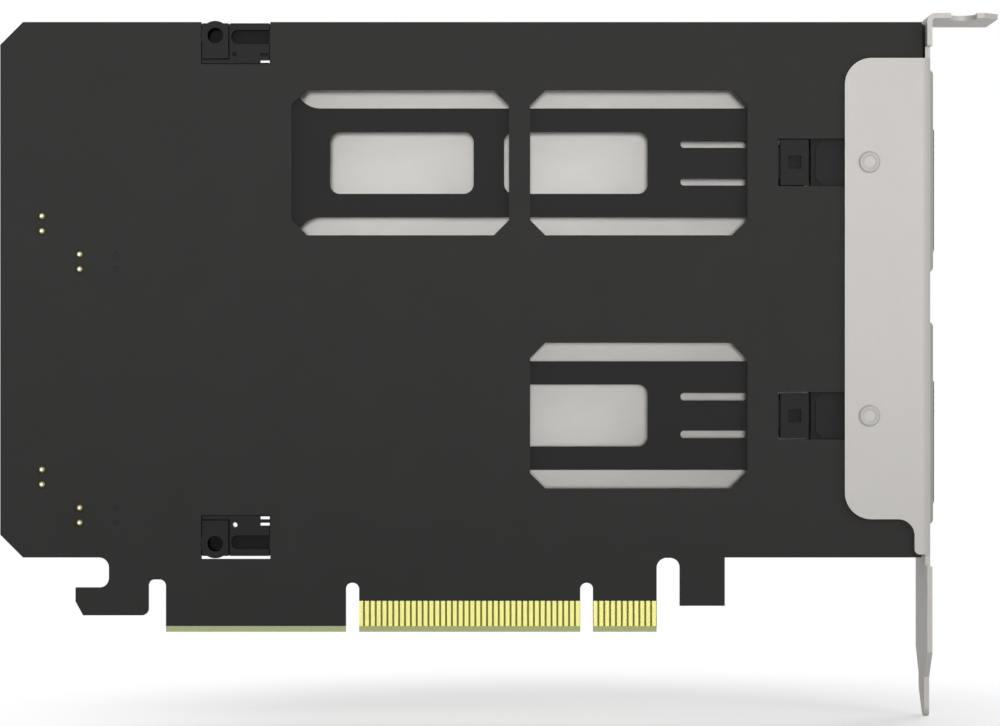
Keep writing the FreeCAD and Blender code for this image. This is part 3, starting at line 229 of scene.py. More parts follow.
class Finish:
    """A material or sky under construction, to which one method adds every node."""

    def __init__(self, name, sky=None):
        self.material = sky or bpy.data.materials.new(name)
        self.material.use_nodes = True
        self.tree = self.material.node_tree
        self.tree.nodes.clear()

    def node(self, kind, settings=None, inputs=None, output=0):
        """A node of a kind: its settings first, then the values or links of its sockets."""
        node = self.tree.nodes.new(kind)
        for name, setting in (settings or {}).items():
            setattr(node, name, setting)
        for name, value in (inputs or {}).items():
            if isinstance(value, Amount):
                self.tree.links.new(value.socket, node.inputs[name])
            else:
                node.inputs[name].default_value = value
        return Amount(self, node.outputs[output]) if node.outputs else None

    def place(self):
        """Where a point lies on its own piece, as three lengths in millimetres."""
        spot = self.node("ShaderNodeTexCoord", output="Object")
        scaled = self.node(
            "ShaderNodeVectorMath", {"operation": "SCALE"}, {0: spot, "Scale": 1 / MM})
        return self.axes(scaled)

    def axes(self, vector):
        """The three numbers of a vector."""
        return [self.node("ShaderNodeSeparateXYZ", inputs={0: vector}, output=axis)
                for axis in "XYZ"]

    def facing(self):
        """The way the surface faces, on its own piece."""
        return self.axes(self.node("ShaderNodeTexCoord", output="Normal"))

    def noise(self, size, detail=2.0, stretch=(1, 1, 1), roughness=0.5):
        """Even noise whose lumps are about so many millimetres across, longer where stretched."""
        spot = self.node("ShaderNodeTexCoord", output="Object")
        scale = [1 / (size * MM * share) for share in stretch]
        moved = self.node("ShaderNodeVectorMath", {"operation": "MULTIPLY"}, {0: spot, 1: scale})
        return self.node("ShaderNodeTexNoise", inputs={
            "Vector": moved, "Scale": 1.0, "Detail": detail, "Roughness": roughness})

    def ramp(self, amount, low, high):
        """0 below the low level and 1 above the high one, with a soft step between."""
        return self.node("ShaderNodeMapRange", {"interpolation_type": "SMOOTHSTEP"}, {
            "Value": amount, "From Min": low, "From Max": high})

    def mix(self, share, first, second):
        """Two colours mixed by a share of the second."""
        return self.node("ShaderNodeMix", {"data_type": "RGBA"}, {
            0: share, 6: full(first), 7: full(second)}, output=2)

    def vary(self, share, colour, dark, pale):
        """A colour between a darker and a paler shade of itself."""
        return self.mix(share, shade(colour, dark), shade(colour, pale))

    def edges(self, radius):
        """1 on sharp edges, falling to 0 about a radius away."""
        rounded = self.node("ShaderNodeBevel", {"samples": 4}, {"Radius": radius * MM})
        flat = self.node("ShaderNodeNewGeometry", output="Normal")
        along = self.node("ShaderNodeVectorMath", {"operation": "DOT_PRODUCT"}, {
            0: rounded, 1: flat}, output="Value")
        return ((1 - along) * 5.0).held()

    def seen(self):
        """1 for what is seen directly, in a reflection or through glass."""
        looks = [self.node("ShaderNodeLightPath", output=name) for name in
                 ("Is Camera Ray", "Is Glossy Ray", "Is Transmission Ray")]
        return looks[0].either(looks[1]).either(looks[2])

    def shader(self, colour, roughness, height, depth, metallic=0.0, specular=0.3):
        """The surface shader and the output, with bumps so many millimetres deep."""
        normal = self.node("ShaderNodeBump", inputs={
            "Height": height, "Distance": depth * MM, "Strength": 1.0})
        shader = self.node("ShaderNodeBsdfPrincipled", inputs={
            "Base Color": full(colour), "Roughness": roughness, "Metallic": metallic,
            "Specular IOR Level": specular, "Normal": normal})
        self.node("ShaderNodeOutputMaterial", inputs={"Surface": shader})


def full(colour):
    """A colour with its alpha, or a linked colour as it is."""
    return colour if isinstance(colour, Amount) else (*colour, 1.0)


def shade(colour, share):
    """A colour made darker or paler by a share of itself."""
    return tuple(min(1.0, channel * share) for channel in colour)


def board_finish(board):
    """Solder mask over glass cloth, bare laminate at the card edge and olive cut edges."""
    finish = Finish("mask_and_laminate")
    x, _, z = finish.place()
    _, across, _ = finish.facing()
    cloud = finish.noise(9.0, 3.0)
    fine = finish.noise(0.35)
    mask = finish.vary(cloud, board.mask_colour, 0.93, 1.07)
    on_face = abs(across) > 0.9
    plated = (z < board.contact_top / MM) * (x > PLATED[0]) * (x < PLATED[1])
    bevel = (z < BEVEL_TOP) * (x > BEVELLED[0]) * (x < BEVELLED[1])
    laminate = finish.vary(fine, board.bare_colour, 0.9, 1.08)
    core = finish.vary(fine, board.core_colour, 0.85, 1.15)
    colour = finish.mix(on_face, core, mask)
    colour = finish.mix(plated * (abs(across) > 0.5), colour, laminate)
    chamfer = finish.vary(fine, board.bevel_colour, 0.93, 1.06)
    colour = finish.mix(bevel, colour, chamfer)
    threads, picks = [
        finish.node("ShaderNodeTexWave", {"bands_direction": axis}, {
            "Vector": finish.node("ShaderNodeTexCoord", output="Object"), "Scale": CLOTH_SCALE,
            "Distortion": 0.4}) for axis in "XZ"]
    height = (threads + picks) * 0.35 + fine * 0.6
    finish.shader(colour, 0.54 + fine * 0.12, height, 0.006, specular=0.1)


def covered_copper_finish(colour):
    """Solder mask over copper, a little paler and smoother than over laminate."""
    finish = Finish("mask_over_copper")
    cloud = finish.noise(3.0)
    fine = finish.noise(0.35)
    base = finish.vary(cloud, colour, 1.7, 2.0)
    finish.shader(base, 0.42 + fine * 0.1, fine, 0.004, specular=0.16)


def gold_finish(colour):
    """Hard gold plate with faint wiping marks along the way the edge is pushed in."""
    finish = Finish("gold_plate")
    wiped = finish.noise(0.12, 2.0, (1, 1, 14))
    cloud = finish.noise(2.5)
    base = finish.vary(cloud, colour, 0.96, 1.03)
    finish.shader(base, 0.36 + wiped * 0.16, wiped, 0.002, metallic=0.2, specular=0.25)


def rolled_finish(name, colour, grain, gloss, metallic=0.12, along=(1, 1, 18)):
    """Plated or satin sheet metal: long rolling grain, faint clouding, edges paled by wear and a
    painted highlight.
    """
    finish = Finish(name)
    lines = finish.noise(grain, 3.0, along, 0.6)
    cloud = finish.noise(14.0, 3.0)
    wear_and_highlight = finish.edges(0.25)
    base = finish.vary(cloud, colour, 0.965, 1.03)
    base = finish.mix(lines * 0.3, base, shade(colour, 0.86))
    # Painted highlight mixed with wear: the edges are made a quarter paler.
    base = finish.mix(wear_and_highlight * 0.35, base, shade(colour, 1.25))
    finish.shader(base, gloss + lines * 0.14, lines, 0.004, metallic, 0.35)


def nickel_finish(colour):
    """Nickel plate on screws, posts and pins, brighter at the edges from handling wear and a
    painted highlight.
    """
    finish = Finish("nickel_plate")
    cloud = finish.noise(0.8, 3.0)
    fine = finish.noise(0.08)
    wear_and_highlight = finish.edges(0.12)
    base = finish.vary(cloud, colour, 0.88, 1.1)
    # Painted highlight mixed with handling wear: the edges are made much paler.
    base = finish.mix(wear_and_highlight * 0.6, base, shade(colour, 1.45))
    finish.shader(base, 0.34 + cloud * 0.14, fine, 0.002, metallic=0.3)


def coated_finish(colour):
    """Powder coat on the sheet cover: orange peel, and paler cut edges, part bare metal and part
    painted highlight.
    """
    finish = Finish("black_coat")
    peel = finish.noise(0.5, 1.0)
    cloud = finish.noise(12.0)
    wear_and_highlight = finish.edges(0.12)
    base = finish.vary(cloud, colour, 0.88, 1.12)
    # Paler cut edges: part bare metal, part painted highlight.
    base = finish.mix(wear_and_highlight * 0.28, base, shade(colour, 4.0))
    finish.shader(base, 0.36 + peel * 0.12, peel, 0.02)


def moulded_finish(name, colour, grain=0.22, depth=0.008, gloss=0.48, specular=0.2, polish_and_highlight=1.7,
                   painted_shade_depth=None):
    """Spark-grained moulding with a slight flow shade, edges paled by handling polish and a
    painted highlight, and painted shade past a given depth.
    """
    finish = Finish(name)
    pits = finish.noise(grain, 2.0, (1, 1, 1), 0.6)
    flow = finish.noise(11.0, 3.0, (2, 1, 1))
    wear_and_highlight = finish.edges(0.2)
    base = finish.vary(flow, colour, 0.93, 1.07)
    base = finish.mix(pits * 0.2, base, shade(colour, 0.8))
    # Paler edges: part handling polish, part painted highlight.
    base = finish.mix(wear_and_highlight * 0.3, base, shade(colour, polish_and_highlight))
    # Painted shade: past the given depth along Y, in millimetres, the moulding is darkened to
    # three tenths of its colour, standing in for shade in its recesses.
    if painted_shade_depth is not None:
        _, depth_in, _ = finish.place()
        base = finish.mix(finish.ramp(depth_in, painted_shade_depth, painted_shade_depth + 0.3), base, shade(colour, 0.3))
    finish.shader(base, gloss + pits * 0.16 - wear_and_highlight * 0.08, pits, depth, specular=specular)


def even_finish(name, colour, size, spread, gloss, depth=0.01, metallic=0.0, specular=0.3,
                detail=2.0, coarse=0.5):
    """One noise in colour, gloss and height, for what is fired, soldered or cast in one go."""
    finish = Finish(name)
    lumps = finish.noise(size, detail, (1, 1, 1), coarse)
    base = finish.vary(lumps, colour, *spread)
    finish.shader(base, gloss[0] + lumps * gloss[1], lumps, depth, metallic, specular)


def islands(node):
    """The lowest and highest corner of each separate solid in a node."""
    shape = bmesh.new()
    shape.from_mesh(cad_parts[node].data)
    bmesh.ops.remove_doubles(shape, verts=shape.verts, dist=1e-7)
    boxes = []
    waiting = set(shape.verts)
    while waiting:
        reached = [waiting.pop()]
        island = []
        while reached:
            vertex = reached.pop()
            island.append(vertex.co.copy())
            for edge in vertex.link_edges:
                other = edge.other_vert(vertex)
                if other in waiting:
                    waiting.remove(other)
                    reached.append(other)
        boxes.append([Vector([end(point[axis] for point in island) for axis in range(3)])
                      for end in (min, max)])
    shape.free()
    return sorted(boxes, key=lambda box: (round(box[0].x, 5), round(box[0].z, 5)))


def block(shape, low, high, bevel=0.0, slot=0):
    """A box between two corners, its edges eased."""
    made = bmesh.ops.create_cube(shape, size=1.0)["verts"]
    for vertex in made:
        vertex.co = Vector([
            low[axis] + (high[axis] - low[axis]) * (vertex.co[axis] + 0.5) for axis in range(3)])
    faces = {face for vertex in made for face in vertex.link_faces}
    if bevel:
        edges = {edge for vertex in made for edge in vertex.link_edges}
        eased = bmesh.ops.bevel(
            shape, geom=list(edges), offset=bevel, segments=2, profile=0.5, affect="EDGES")
        faces = {face for vertex in eased["verts"] for face in vertex.link_faces} | {
            face for face in faces if face.is_valid}
    for face in faces:
        face.material_index = slot


def middle(low, high):
    """The middle of a box across the board, as its place along X and its height."""
    return ((low.x + high.x) / 2, (low.z + high.z) / 2)


def bridge(shape, rows, slot=0, smooth=False):
    """Faces that join each row of points to the next, all the way round."""
    for near, far in zip(rows, rows[1:]):
        for step in range(len(near)):
            after = (step + 1) % len(near)
            face = shape.faces.new((near[step], near[after], far[after], far[step]))
            face.material_index = slot
            face.smooth = smooth


def cap(shape, loop, slot=0):
    """A face that closes a row of points."""
    shape.faces.new(loop).material_index = slot


def ring(shape, centre, radius, level, count=ROUND):
    """A circle of points about a centre, at a level along Y."""
    points = []
    for step in range(count):
        angle = math.tau * step / count
        points.append(shape.verts.new((
            centre[0] + radius * math.cos(angle), level, centre[1] + radius * math.sin(angle))))
    return points


def turned(shape, centre, profile, slot=0, count=ROUND):
    """A turned form along Y from its radii and levels, open at both ends."""
    rings = [ring(shape, centre, radius, level, count) for radius, level in profile]
    bridge(shape, rings, slot, True)
    return rings


def tapered(shape, centre, half, levels):
    """A square form along Y, its half width shared out by level, open at both ends."""
    rows = [[shape.verts.new((centre[0] + a * half * part, level, centre[1] + b * half * part))
             for a, b in CORNERS] for part, level in levels]
    bridge(shape, rows)
    return rows


def ribbon(shape, points, width, low, high):
    """A flat strip along points on the board, mitred where it turns."""
    rows = []
    spots = [Vector(point) for point in points]
    for index, spot in enumerate(spots):
        ways = []
        if index > 0:
            ways.append((spot - spots[index - 1]).normalized())
        if index < len(spots) - 1:
            ways.append((spots[index + 1] - spot).normalized())
        along = sum(ways, Vector((0.0, 0.0))).normalized()
        side = Vector((-along.y, along.x))
        square = Vector((-ways[0].y, ways[0].x))
        reach = side * (width / 2 / side.dot(square))
        left, right = spot + reach, spot - reach
        rows.append([shape.verts.new((place.x, level, place.y)) for place, level in
                     ((left, low), (left, high), (right, high), (right, low))])
    cap(shape, rows[0])
    cap(shape, rows[-1])
    bridge(shape, rows)


def cross_recess(shape, centre, loop, level, reach, half, depth):
    """A cross-shaped recess in the flat middle of a screw head, inside a loop of points."""
    outline = [(reach, half), (half, half), (half, reach), (-half, reach), (-half, half),
               (-reach, half), (-reach, -half), (-half, -half), (-half, -reach), (half, -reach),
               (half, -half), (reach, -half)]
    top = [shape.verts.new((centre[0] + a, level, centre[1] + b)) for a, b in outline]
    floor = [shape.verts.new((centre[0] + a * 0.8, level - depth, centre[1] + b * 0.8))
             for a, b in outline]
    rim = [shape.edges.new((top[i], top[(i + 1) % 12])) for i in range(12)]
    outer = []
    for index, vertex in enumerate(loop):
        other = loop[(index + 1) % len(loop)]
        outer.append(shape.edges.get((vertex, other)) or shape.edges.new((vertex, other)))
    bmesh.ops.triangle_fill(shape, use_beauty=True, edges=rim + outer)
    bridge(shape, (top, floor))
    cap(shape, floor)


def screw(shape, low, high, rise, shank, outline, settings):
    """A screw that fills a box along Y, its head with a rise, an outline and a recess."""
    head = (high.x - low.x) / 2
    seat = high.y - rise
    centre = middle(low, high)
    rings = turned(shape, centre, [
        (shank * 0.6, low.y), (shank, low.y + shank * 0.7), (shank, seat)] + [
        (head * part, seat + rise * share) for part, share in outline])
    cap(shape, rings[0])
    flat = outline[-1][0]
    cross_recess(shape, centre, rings[-1], high.y, head * min(0.5, flat * 0.82),
                 head * settings.cross_width / 2, head * settings.cross_depth)


def placed(name, data):
    """An object put into the scene."""
    piece = bpy.data.objects.new(name, data)
    bpy.context.scene.collection.objects.link(piece)
    return piece


def meshed(name, shape):
    """An object from a finished shape."""
    mesh = bpy.data.meshes.new(name)
    shape.to_mesh(mesh)
    shape.free()
    return placed(name, mesh)


def finished(name, shape, materials, body, slot, *nodes):
    """A piece with its finishes, the body it rides on and the nodes it replaces."""
    bmesh.ops.recalc_face_normals(shape, faces=shape.faces)
    piece = meshed(name, shape)
    for material in materials:
        piece.data.materials.append(bpy.data.materials[material])
    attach(piece, body)
    if nodes:
        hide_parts(*nodes)
    return piece


def dress(node, material):
    """A CAD node given its finish."""
    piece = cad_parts[node]
    if not piece.data.materials:
        piece.data.materials.append(None)
    for slot in piece.material_slots:
        slot.material = bpy.data.materials[material]


def soften(piece, angle=35):
    """Smooth shading that keeps edges sharper than the angle."""
    for polygon in piece.data.polygons:
        polygon.use_smooth = True
    piece.data.set_sharp_from_angle(angle=math.radians(angle))


class CARD_OT_finishes(bpy.types.Operator):
    """Make every finish and put it on the pieces that keep their solid form."""

    bl_idname = "card.finishes"
    bl_label = "Finishes"

    def execute(self, context):
        board = context.scene.card_board
        metal = context.scene.card_metal
        plastic = context.scene.card_plastic
        board_finish(board)
        even_finish("bare_ring", board.ring_colour, 0.2, (0.83, 1.17), (0.5, 0.1), specular=0.1)
        covered_copper_finish(board.mask_colour)
        gold_finish(board.gold_colour)
        rolled_finish("plated_steel", metal.bracket_colour, 0.16, 0.42)
        rolled_finish("satin_aluminium", metal.tray_colour, 0.2, 0.42, 0.2, (18, 1, 1))
        rolled_finish(
            "rivet_steel", shade(metal.bracket_colour, 0.96), 0.08, 0.40, along=(1, 1, 1))
        nickel_finish(metal.screw_colour)
        even_finish("bright_tin", metal.tin_colour, 0.35, (0.9, 1.08), (0.24, 0.12), metallic=0.3)
        coated_finish(metal.cover_colour)
        # The cage is painted darker, as shade, wherever it lies more than 0.9 mm deep along Y.
        moulded_finish("cage_moulding", plastic.cage_colour, specular=0.12, painted_shade_depth=0.9)
        moulded_finish(
            "front_moulding", plastic.front_colour, gloss=0.42, specular=0.3, polish_and_highlight=1.25)
        moulded_finish(
            "lever_moulding", plastic.lever_colour, gloss=0.4, specular=0.3, polish_and_highlight=1.5)
        moulded_finish("socket_moulding", plastic.socket_colour, 0.15, 0.004, 0.36)
        moulded_finish("connector_moulding", plastic.header_colour, 0.15, 0.004, 0.46, 0.1)
        moulded_finish("chip_moulding", plastic.chip_colour, 0.12, 0.006, 0.5, 0.2, 2.2)
        for name, colour, size, gloss in (
            ("pressed_ferrite", plastic.ferrite_colour, 0.3, 0.5),
            ("fired_ceramic", plastic.ceramic_colour, 0.25, 0.4),
        ):
            even_finish(name, colour, size, (0.82, 1.18), (gloss, 0.2), specular=0.25,
                        detail=3.0, coarse=0.7)
        even_finish(
            "milky_lens", plastic.lens_colour, 0.6, (0.93, 1.05), (0.16, 0.1), 0.004, specular=0.5)
        for node, material in (
            ("pcb", "mask_and_laminate"), ("edge_contacts", "gold_plate"),
            ("bracket", "plated_steel"), ("flange_rivets", "rivet_steel"),
            ("drive_cage", "cage_moulding"), ("cage_cover", "black_coat"),
            ("cage_screws", "nickel_plate"), ("header_pins", "bright_tin"),
            ("clock_buffer", "chip_moulding"), ("capacitors", "fired_ceramic"),
        ):
            dress(node, material)
        for bay in BAYS:
            for node, material in (
                ("drive_socket", "socket_moulding"), ("led_header", "socket_moulding"),
                ("aux_connector", "connector_moulding"), ("inductor", "pressed_ferrite"),
                ("regulator", "chip_moulding"), ("tray_frame", "satin_aluminium"),
                ("tray_front", "front_moulding"), ("tray_lens", "milky_lens"),
                ("tray_screws", "nickel_plate"), ("drive_standoff", "nickel_plate"),
                ("lever_pin", "nickel_plate"), ("eject_lever", "lever_moulding"),
            ):
                dress(f"{node}_{bay}", material)
        return {"FINISHED"}


class CARD_OT_screws(bpy.types.Operator):
    """Cut the cage's and trays' screws with domed or flat heads and cross recesses."""

    bl_idname = "card.screws"
    bl_label = "Screws"
    pan_rise, pan_shank = 1.1 * MM, 0.85 * MM
    flat_rise, flat_shank = 0.5 * MM, 0.7 * MM

    def execute(self, context):
        metal = context.scene.card_metal
        shape = bmesh.new()
        for low, high in islands("cage_screws"):
            screw(shape, low, high, self.pan_rise, self.pan_shank, PAN_HEAD, metal)
        soften(finished(
            "cover_screws", shape, ["nickel_plate"], "card", "screw_steel", "cage_screws"))
        for bay in BAYS:
            shape = bmesh.new()
            node = f"tray_screws_{bay}"
            for low, high in islands(node):
                screw(shape, low, high, self.flat_rise, self.flat_shank, FLAT_HEAD, metal)
            soften(finished(
                f"front_screws_{bay}", shape, ["nickel_plate"], f"{bay}_tray", "screw_steel",
                node))
        return {"FINISHED"}


class CARD_OT_rivets(bpy.types.Operator):
    """Round the heads of the flange's rivets and their dimples."""

    bl_idname = "card.rivets"
    bl_label = "Rivets"
    # Both ends: share of the radius, and distance from that end in millimetres.
    foot = ((0.96, 0.0), (1.0, 0.06), (1.0, 0.5), (0.81, 0.5))
    crown = ((0.81, 0.45), (1.0, 0.45), (0.985, 0.30), (0.95, 0.17), (0.89, 0.07), (0.81, 0.015),
             (0.74, 0.0), (0.68, 0.03), (0.61, 0.09), (0.53, 0.13), (0.4, 0.14))

    def execute(self, context):
        shape = bmesh.new()
        for low, high in islands("flange_rivets"):
            head = (high.x - low.x) / 2
            rings = turned(shape, middle(low, high), [
                (head * part, high.y - inside * MM) for part, inside in self.foot] + [
                (head * part, low.y + inside * MM) for part, inside in self.crown])
            cap(shape, rings[0])
            cap(shape, rings[-1])
        soften(finished(
            "rounded_rivets", shape, ["rivet_steel"], "card", "screw_steel", "flange_rivets"))
        return {"FINISHED"}


class CARD_OT_pins(bpy.types.Operator):
    """Point the header pins, and solder them to the board's back."""

    bl_idname = "card.pins"
    bl_label = "Pins and solder"
    round = 20
    # A solder joint: share of its radius, and height in millimetres.
    joint = ((1.0, 0.024), (0.95, 0.12), (0.84, 0.3), (0.78, 0.5), (0.66, 0.66), (0.4, 0.77))

    def execute(self, context):
        board = context.scene.card_board
        foot = board.joint_radius
        fillet = [(foot * part, BOARD_BACK - rise * MM) for part, rise in self.joint]
        pins = bmesh.new()
        joints = bmesh.new()
        for low, high in islands("header_pins"):
            half = (high.x - low.x) / 2
            centre = middle(low, high)
            rows = tapered(pins, centre, half, (
                (0.55, low.y), (1.0, low.y + half), (1.0, high.y - half * 1.6), (0.5, high.y)))
            cap(pins, rows[0])
            cap(pins, rows[-1])
            rings = turned(joints, centre, fillet, 0, self.round)
            cap(joints, rings[-1])
            turned(joints, centre, [
                (board.ring_radius, BOARD_BACK), (board.ring_radius, BOARD_BACK - SKIN),
                (foot * 0.9, BOARD_BACK - SKIN)], 1, self.round)
        finished("pointed_pins", pins, ["bright_tin"], "card", "tin", "header_pins")
        finished("solder_joints", joints, ["bright_tin", "bare_ring"], "card", "tin")
        return {"FINISHED"}


class CARD_OT_chips(bpy.types.Operator):
    """Build the chips with drafted bodies, a pin-one dimple and bent legs."""

    bl_idname = "card.chips"
    bl_label = "Chips"
    leg_reach, leg_width, leg_thick = 0.35 * MM, 0.3 * MM, 0.1 * MM
    # Where a leg bends, in millimetres beyond the body.
    leg_bends = (-0.05, 0.2, 0.34, 0.66)
    # Share to which a body narrows at both faces, and its height off the board.
    draft, clearance = 0.93, 0.08 * MM
    # The dimple's place as a share of the half width, its two radii, depth and points.
    dimple_place, dimple_rim, dimple_floor = 0.62, 0.4 * MM, 0.28 * MM
    dimple_depth, dimple_round = 0.09 * MM, 20

    def execute(self, context):
        for node, (per_side, pitch) in CHIP_LEGS.items():
            low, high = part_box(node)
            shape = bmesh.new()
            self.body(shape, low, high)
            self.legs(shape, low, high, per_side, pitch * MM)
            finished(
                f"{node}_package", shape, ["chip_moulding", "bright_tin"], "card", "chip", node)
        return {"FINISHED"}

    def body(self, shape, low, high):
        """The moulded body, drafted to both sides, with the dimple by its first pin."""
        centre = middle(low, high)
        half = (high.x - low.x) / 2 - self.leg_reach
        rows = tapered(shape, centre, half, (
            (self.draft, low.y + self.clearance), (1.0, (low.y + high.y) / 2),
            (self.draft, high.y)))
        cap(shape, rows[0])
        offset = half * self.dimple_place
        spot = (centre[0] - offset, centre[1] + offset)
        count = self.dimple_round
        rim = ring(shape, spot, self.dimple_rim, high.y, count)
        bowl = ring(shape, spot, self.dimple_floor, high.y - self.dimple_depth, count)
        outer = [shape.edges.get((rows[-1][i], rows[-1][(i + 1) % 4])) for i in range(4)]
        inner = [shape.edges.new((rim[i], rim[(i + 1) % count])) for i in range(count)]
        bmesh.ops.triangle_fill(shape, use_beauty=True, edges=outer + inner)
        bridge(shape, (rim, bowl))
        cap(shape, bowl)

    def legs(self, shape, low, high, count, pitch):
        """The legs on all four sides, bent down to the board."""
        across, rise = middle(low, high)
        half = (high.x - low.x) / 2 - self.leg_reach
        waist = (low.y + high.y) / 2
        sole = low.y + self.leg_thick
        path = [(half + reach * MM, level) for reach, level in
                zip(self.leg_bends, (waist, waist, sole, sole))]
        for turn in range(4):
            for number in range(count):
                offset = (number - (count - 1) / 2) * pitch
                bent_strip(shape, Vector((across, 0, rise)), turn, offset, path,
                           self.leg_width, self.leg_thick, 1)


def bent_strip(shape, start, turn, offset, path, width, thick, slot):
    """A leg bent from flat strip that leads outwards from a start, in one of four directions."""
    out = (Vector((1, 0, 0)), Vector((0, 0, 1)), Vector((-1, 0, 0)), Vector((0, 0, -1)))[turn]
    side = Vector((out.z, 0, -out.x))
    rows = []
    for reach, level in path:
        row = []
        for across, up in ((-0.5, 0), (0.5, 0), (0.5, -1), (-0.5, -1)):
            point = start + out * reach + side * (offset + across * width)
            point.y = level + up * thick
            row.append(shape.verts.new(point))
        rows.append(row)
    cap(shape, rows[0], slot)
    cap(shape, rows[-1], slot)
    bridge(shape, rows, slot)


class CARD_OT_passives(bpy.types.Operator):
    """Give the capacitors tinned ends and the chokes their soldered terminals."""

    bl_idname = "card.passives"
    bl_label = "Capacitors and chokes"
    # Length of a tinned end, and how far the ceramic lies below it.
    end, below = 0.45 * MM, 0.03 * MM
    # Thickness, half width and height of a choke's terminal.
    plate, plate_half, plate_high = 0.18 * MM, 2.0 * MM, 1.3 * MM

    def execute(self, context):
        shape = bmesh.new()
        for low, high in islands("capacitors"):
            inset = Vector((self.end * 0.9, self.below, self.below))
            block(shape, low + inset, high - inset, 0.05 * MM)
            block(shape, low, (low.x + self.end, high.y, high.z), 0.08 * MM, 1)
            block(shape, (high.x - self.end, low.y, low.z), high, 0.08 * MM, 1)
        finished(
            "chip_capacitors", shape, ["fired_ceramic", "bright_tin"], "card", "ceramic",
            "capacitors")
        for bay in BAYS:
            low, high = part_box(f"inductor_{bay}")
            _, rise = middle(low, high)
            shape = bmesh.new()
            for near, far in ((low.x - self.plate, low.x), (high.x, high.x + self.plate)):
                block(shape, (near, low.y, rise - self.plate_half),
                      (far, low.y + self.plate_high, rise + self.plate_half), 0.05 * MM)
            finished(f"choke_terminals_{bay}", shape, ["bright_tin"], "card", "tin")
        return {"FINISHED"}


class CARD_OT_socket_contacts(bpy.types.Operator):
    """Fit the drive sockets with their spring contacts and soldered tails."""

    bl_idname = "card.socket_contacts"
    bl_label = "Socket contacts"
    pitch, thick = 0.5 * MM, 0.12 * MM
    # The slot's near wall above the board and its width, and its key's place and half width.
    slot_near, slot_wide = 6.35 * MM, 0.95 * MM
    key_place, key_half = 6.1 * MM, 0.8 * MM
    # How far behind the mouth a spring starts and ends, and half its width.
    spring_front, spring_back, spring_half = 0.5 * MM, 4.2 * MM, 0.13 * MM
    # A tail's bends, out from the socket and up from the board in millimetres, and its width.
    tail_bends = ((0.0, 0.9), (0.25, 0.86), (0.5, 0.16), (1.15, 0.14))
    tail_wide = 0.24 * MM
    # Where a holding tab starts and ends, how far it stands out, and its thickness.
    tab_near, tab_far, tab_reach, tab_thick = 2.6 * MM, 5.4 * MM, 1.1 * MM, 0.25 * MM

    def execute(self, context):
        for bay in BAYS:
            low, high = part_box(f"drive_socket_{bay}")
            _, rise = middle(low, high)
            self.springs(bay, high.x, rise)
            self.tails(bay, low, high, rise)
        return {"FINISHED"}

    def springs(self, bay, mouth, middle_rise):
        """The springs on both walls of the slot, none where its key is."""
        near = BOARD_FACE + self.slot_near
        shape = bmesh.new()
        for number in range(-19, 20):
            rise = middle_rise + number * self.pitch
            if abs(rise - middle_rise - self.key_place) < self.key_half:
                continue
            for level in (near, near + self.slot_wide - self.thick):
                block(shape, (mouth - self.spring_back, level, rise - self.spring_half),
                      (mouth - self.spring_front, level + self.thick, rise + self.spring_half))
        finished(f"socket_springs_{bay}", shape, ["gold_plate"], "card", "gold")

    def tails(self, bay, low, high, middle_rise):
        """The soldered tails along the back, and the tab at each end that holds the socket."""
        shape = bmesh.new()
        path = [(reach * MM, BOARD_FACE + level * MM) for reach, level in self.tail_bends]
        for number in range(-20, 21):
            bent_strip(shape, Vector((low.x, 0, middle_rise)), 2, number * self.pitch, path,
                       self.tail_wide, self.thick, 0)
        for inner, outer in ((low.z - self.tab_reach, low.z), (high.z, high.z + self.tab_reach)):
            block(shape, (low.x + self.tab_near, BOARD_FACE, inner),
                  (low.x + self.tab_far, BOARD_FACE + self.tab_thick, outer), 0.05 * MM)
        finished(f"socket_tails_{bay}", shape, ["bright_tin"], "card", "tin")


